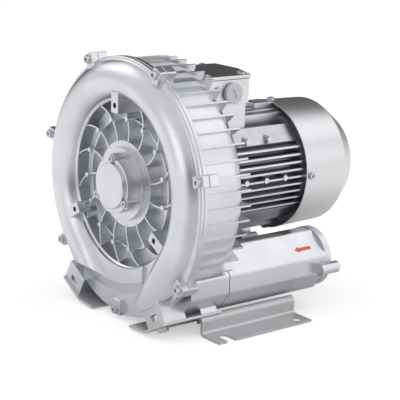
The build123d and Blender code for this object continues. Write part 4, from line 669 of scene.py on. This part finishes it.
class BLOWER_OT_fittings(Step, bpy.types.Operator):
    """Plastic, rubber, foam and brass on the plug, gland, seals, linings and studs"""
    bl_idname = "blower.fittings"
    bl_label = "Plastic and rubber"

    def execute(self, context):
        look = context.scene.blower_finish
        dress(moulded("grey_plastic", look.plastic, 0.28, 1100.0, 0.08), "grey_plastic")
        dress(moulded("black_rubber", look.rubber, 0.62, 700.0, 0.25), "black_rubber")
        dress(open_foam("open_foam", look.foam), "grey_foam")
        dress(brass_finish("turned_brass", look.brass), "brass")
        return {"FINISHED"}


class BLOWER_OT_washers(Step, bpy.types.Operator):
    """Washers under the screws of the cover, bearing cap, flanges, lid and cowl"""
    bl_idname = "blower.washers"
    bl_label = "Washers"

    def execute(self, context):
        sizes = context.scene.blower_fittings
        pattern = washer_pattern(NODES["cover_screws"].data.materials[0])
        for node, head, radius, way in HEADS:
            values = {"Outer": radius + sizes.washer_rim, "Inner": radius - WASHER_LAP,
                      "Thickness": sizes.washer_thick}
            piece = pattern.make(f"{node}_washers", head_places(node, head, way), values, "blower")
        return {"FINISHED"}


class BLOWER_OT_port_threads(Step, bpy.types.Operator):
    """Threads in the mouths of both ports"""
    bl_idname = "blower.port_threads"
    bl_label = "Port threads"

    def execute(self, context):
        sizes = context.scene.blower_fittings
        pattern = thread_pattern(NODES["port_flange_right"].data.materials[0])
        turns = math.floor(PORT_DEPTH / sizes.thread_pitch) - 1
        values = {"Radius": PORT_R, "Pitch": sizes.thread_pitch, "Turns": float(turns),
                  "Height": sizes.thread_depth}
        for port in ("inlet_port", "outlet_port"):
            start = Vector(MOUNT_OF[port]["pos_m"]) - Vector((0.0, sizes.thread_pitch * turns * 0.5, 0.0))
            piece = pattern.make(f"{port}_thread", [(start, (0.0, 1.0, 0.0))], values, "blower")
        return {"FINISHED"}


class BLOWER_OT_gland_ribs(Step, bpy.types.Operator):
    """Grip ribs round the gland's nut"""
    bl_idname = "blower.gland_ribs"
    bl_label = "Gland ribs"

    def execute(self, context):
        sizes = context.scene.blower_fittings
        low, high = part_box("gland_nut")
        centre = (Vector(low) + Vector(high)) * 0.5
        radius = (high[2] - low[2]) * 0.5 + sizes.nut_rib_height - sizes.nut_rib_width * 0.5
        span = (high[0] - low[0]) - GLAND_DOME
        middle = high[0] - span * 0.5
        places = []
        for step in range(sizes.nut_ribs):
            turn = 2.0 * math.pi * step / sizes.nut_ribs
            side = Vector((0.0, math.cos(turn), math.sin(turn))) * radius
            places.append((Vector((middle, centre.y, centre.z)) + side, (1.0, 0.0, 0.0)))
        pattern = rib_pattern(NODES["gland_nut"].data.materials[0])
        values = {"Length": span - GLAND_RIB_GAP, "Width": sizes.nut_rib_width}
        piece = pattern.make("gland_nut_ribs", places, values, "blower")
        return {"FINISHED"}


class BLOWER_OT_flow_arrows(Step, bpy.types.Operator):
    """Printed arrows for the way of the air, in on the right and out on the left"""
    bl_idname = "blower.flow_arrows"
    bl_label = "Flow arrows"

    def execute(self, context):
        sizes = context.scene.blower_fittings
        paint = printed_sign("arrow_paint", context.scene.blower_finish.sign)
        for name, side, tip in (("right", 1.0, -1.0), ("left", -1.0, 1.0)):
            place, out = (side * ARROW_X, ARROW_Y, ARROW_Z), (side * ARROW_OUT, 0.0, ARROW_UP)
            middle, facing = seated(f"silencer_{name}", place, out)
            size = (sizes.arrow_length, sizes.arrow_width)
            piece = printed_arrow(f"flow_arrow_{name}", middle, facing, tip, *size)
            piece.data.materials.append(paint)
            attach(piece, "blower")
        return {"FINISHED"}


def printed_arrow(name, middle, facing, tip, length_m, width):
    """A thin flat arrow on a surface, its tip towards +Y or -Y."""
    along = Vector((0.0, tip, 0.0))
    across = along.cross(facing).normalized()
    half, neck = length_m * 0.5, length_m * 0.5 - width * ARROW_HEAD
    wing, side = width * 0.5, width * ARROW_SHAFT
    outline = [(half, 0.0), (neck, wing), (neck, side), (-half, side), (-half, -side), (neck, -side),
               (neck, -wing)]
    corners = []
    for lift in (ARROW_UNDER, ARROW_OVER):
        corners += [middle + along * a + across * b + facing * lift for a, b in outline]
    count = len(outline)
    faces = [tuple(range(count, 2 * count)), tuple(range(count - 1, -1, -1))]
    faces += [(i, (i + 1) % count, (i + 1) % count + count, i + count) for i in range(count)]
    mesh = bpy.data.meshes.new(name)
    mesh.from_pydata(corners, [], faces)
    mesh.validate()
    shape = bmesh.new()
    shape.from_mesh(mesh)
    bmesh.ops.recalc_face_normals(shape, faces=shape.faces)
    shape.to_mesh(mesh)
    shape.free()
    return added(name, mesh)


class BLOWER_OT_stage(Step, bpy.types.Operator):
    """Pale floor, soft studio light and the camera"""
    bl_idname = "blower.stage"
    bl_label = "Stage"

    def execute(self, context):
        studio = context.scene.blower_studio
        set_camera(context.scene, studio)
        set_world(context.scene, studio.tent)
        set_floor(studio.floor_glow)
        for name, place, size in SOFTBOXES:
            set_lamp(f"{name}_softbox", place, size, getattr(studio, name))
        context.scene.view_settings.view_transform = "Standard"
        return {"FINISHED"}


def set_camera(scene, studio):
    """Stand the camera where the photograph was taken from."""
    az, el = studio.azimuth, studio.elevation
    back = Vector((math.sin(az) * math.cos(el), -math.cos(az) * math.cos(el), math.sin(el)))
    right = Vector((math.cos(az), math.sin(az), 0.0))
    up = back.cross(right)
    turned_right = right * math.cos(studio.roll) + up * math.sin(studio.roll)
    turned_up = up * math.cos(studio.roll) - right * math.sin(studio.roll)
    data = bpy.data.cameras.new("camera")
    data.sensor_width = SENSOR
    data.lens = studio.lens
    data.clip_end = CAMERA_REACH
    camera = added("camera", data)
    columns = Matrix((turned_right, turned_up, back)).transposed().to_4x4()
    camera.matrix_world = Matrix.Translation(studio.eye) @ columns
    scene.camera = camera


def rays(tree):
    """One for a camera ray, and one for a mirror or glass ray."""
    path = tree.node("ShaderNodeLightPath").socket.node
    camera, glossy, glass = (Wire(tree, path.outputs[label]) for label in
                             ("Is Camera Ray", "Is Glossy Ray", "Is Transmission Ray"))
    return camera, (1.0 - camera) * glossy.maths("MAXIMUM", glossy, glass)


def flagged(tree, way, towards, edge, core, dark):
    """One all round, and darker towards a black card that stands in one direction."""
    settings = {"operation": "DOT_PRODUCT"}
    likeness = tree.node("ShaderNodeVectorMath", settings, {0: way, 1: towards}, out=1)
    return tree.span(likeness, edge, core, 1.0, dark)


def set_world(scene, tent):
    """A soft tent with a black card behind the left and one by the camera, which itself sees white."""
    world = bpy.data.worlds.new("studio")
    world.use_nodes = True
    scene.world = world
    tree = Tree(world.node_tree)
    tree.tree.nodes.clear()
    way = tree.node("ShaderNodeTexCoord", out=0)
    behind = flagged(tree, way, BACK_CARD, edge=0.55, core=0.86, dark=0.03)
    beside = flagged(tree, way, FRONT_CARD, edge=0.80, core=0.96, dark=0.1)
    camera, _ = rays(tree)
    seen = camera + (1.0 - camera) * (behind * beside * tent)
    backdrop = tree.node("ShaderNodeBackground", sockets={"Color": (1.0, 1.0, 1.0, 1.0), "Strength": seen})
    tree.node("ShaderNodeOutputWorld", sockets={"Surface": backdrop})


def set_floor(glow_strength):
    """Pale floor that keeps the shadow and looks white from afar; in mirrors its glow has a painted shadow
    near the blower and is dimmer towards the black cards.
    """
    finish = Finish("pale_floor")
    matt = finish.node("ShaderNodeBsdfDiffuse", sockets={"Color": (0.8, 0.8, 0.8, 1.0)})
    where = finish.place()
    # Painted shadow: the floor's glow seen in mirrors fades out near the blower, where its shadow falls,
    # and dims towards the black cards
    distance = finish.node("ShaderNodeVectorMath", {"operation": "LENGTH"}, {0: where}, out=1)
    clear = finish.span(distance, *FLOOR_FADE, high=FLOOR_MIRROR)
    way = finish.node("ShaderNodeVectorMath", {"operation": "NORMALIZE"}, {0: where})
    clear = clear * flagged(finish, way, FRONT_CARD, edge=0.80, core=0.97, dark=0.1)
    clear = clear * flagged(finish, way, BACK_CARD, edge=0.70, core=0.92, dark=0.3)
    camera, mirror = rays(finish)
    seen = (camera + mirror * clear) * glow_strength
    glow = finish.node("ShaderNodeEmission", sockets={"Color": (1.0, 1.0, 1.0, 1.0), "Strength": seen})
    both = finish.node("ShaderNodeAddShader", sockets={0: matt, 1: glow})
    finish.node("ShaderNodeOutputMaterial", sockets={"Surface": both})
    mesh = bpy.data.meshes.new("floor")
    corners = [(x * FLOOR_REACH, y * FLOOR_REACH, 0.0) for x, y in ((-1, -1), (1, -1), (1, 1), (-1, 1))]
    mesh.from_pydata(corners, [], [(0, 1, 2, 3)])
    mesh.materials.append(finish.material)
    floor = added("floor", mesh)


def set_lamp(name, place, size, power):
    """A softbox of a width and a height, turned to the blower."""
    data = bpy.data.lights.new(name, "AREA")
    data.shape = "RECTANGLE"
    data.size, data.size_y = size
    data.energy = power
    lamp = added(name, data)
    aim = Vector(SOFTBOX_AIM) - Vector(place)
    lamp.location = place
    lamp.rotation_euler = aim.to_track_quat("-Z", "Y").to_euler()


class BLOWER_PT_parts(bpy.types.Panel):
    """The blower's steps and sizes in the sidebar"""
    bl_label = "Blower"
    bl_idname = "BLOWER_PT_parts"
    bl_space_type = "VIEW_3D"
    bl_region_type = "UI"
    bl_category = "Blower"

    def draw(self, context):
        for step in STEPS:
            self.layout.operator(step.bl_idname)
        scene = context.scene
        for group in (scene.blower_finish, scene.blower_fittings, scene.blower_studio):
            column = self.layout.column()
            for key in group.bl_rna.properties.keys():
                if key not in ("rna_type", "name"):
                    column.prop(group, key)


GROUPS = (BlowerFinish, BlowerFittings, BlowerStudio)
STEPS = (BLOWER_OT_castings, BLOWER_OT_sheet_parts, BLOWER_OT_fasteners, BLOWER_OT_running_parts,
         BLOWER_OT_fittings, BLOWER_OT_washers, BLOWER_OT_port_threads, BLOWER_OT_gland_ribs,
         BLOWER_OT_flow_arrows, BLOWER_OT_stage)


def register():
    for kind in (*GROUPS, *STEPS, BLOWER_PT_parts):
        bpy.utils.register_class(kind)
    bpy.types.Scene.blower_finish = PointerProperty(type=BlowerFinish)
    bpy.types.Scene.blower_fittings = PointerProperty(type=BlowerFittings)
    bpy.types.Scene.blower_studio = PointerProperty(type=BlowerStudio)


def unregister():
    del bpy.types.Scene.blower_studio
    del bpy.types.Scene.blower_fittings
    del bpy.types.Scene.blower_finish
    for kind in reversed((*GROUPS, *STEPS, BLOWER_PT_parts)):
        bpy.utils.unregister_class(kind)


def main():
    register()
    bpy.ops.blower.castings()
    bpy.ops.blower.sheet_parts()
    bpy.ops.blower.fasteners()
    bpy.ops.blower.running_parts()
    bpy.ops.blower.fittings()
    bpy.ops.blower.washers()
    bpy.ops.blower.port_threads()
    bpy.ops.blower.gland_ribs()
    bpy.ops.blower.flow_arrows()
    bpy.ops.blower.stage()


if __name__ == "__main__":
    main()
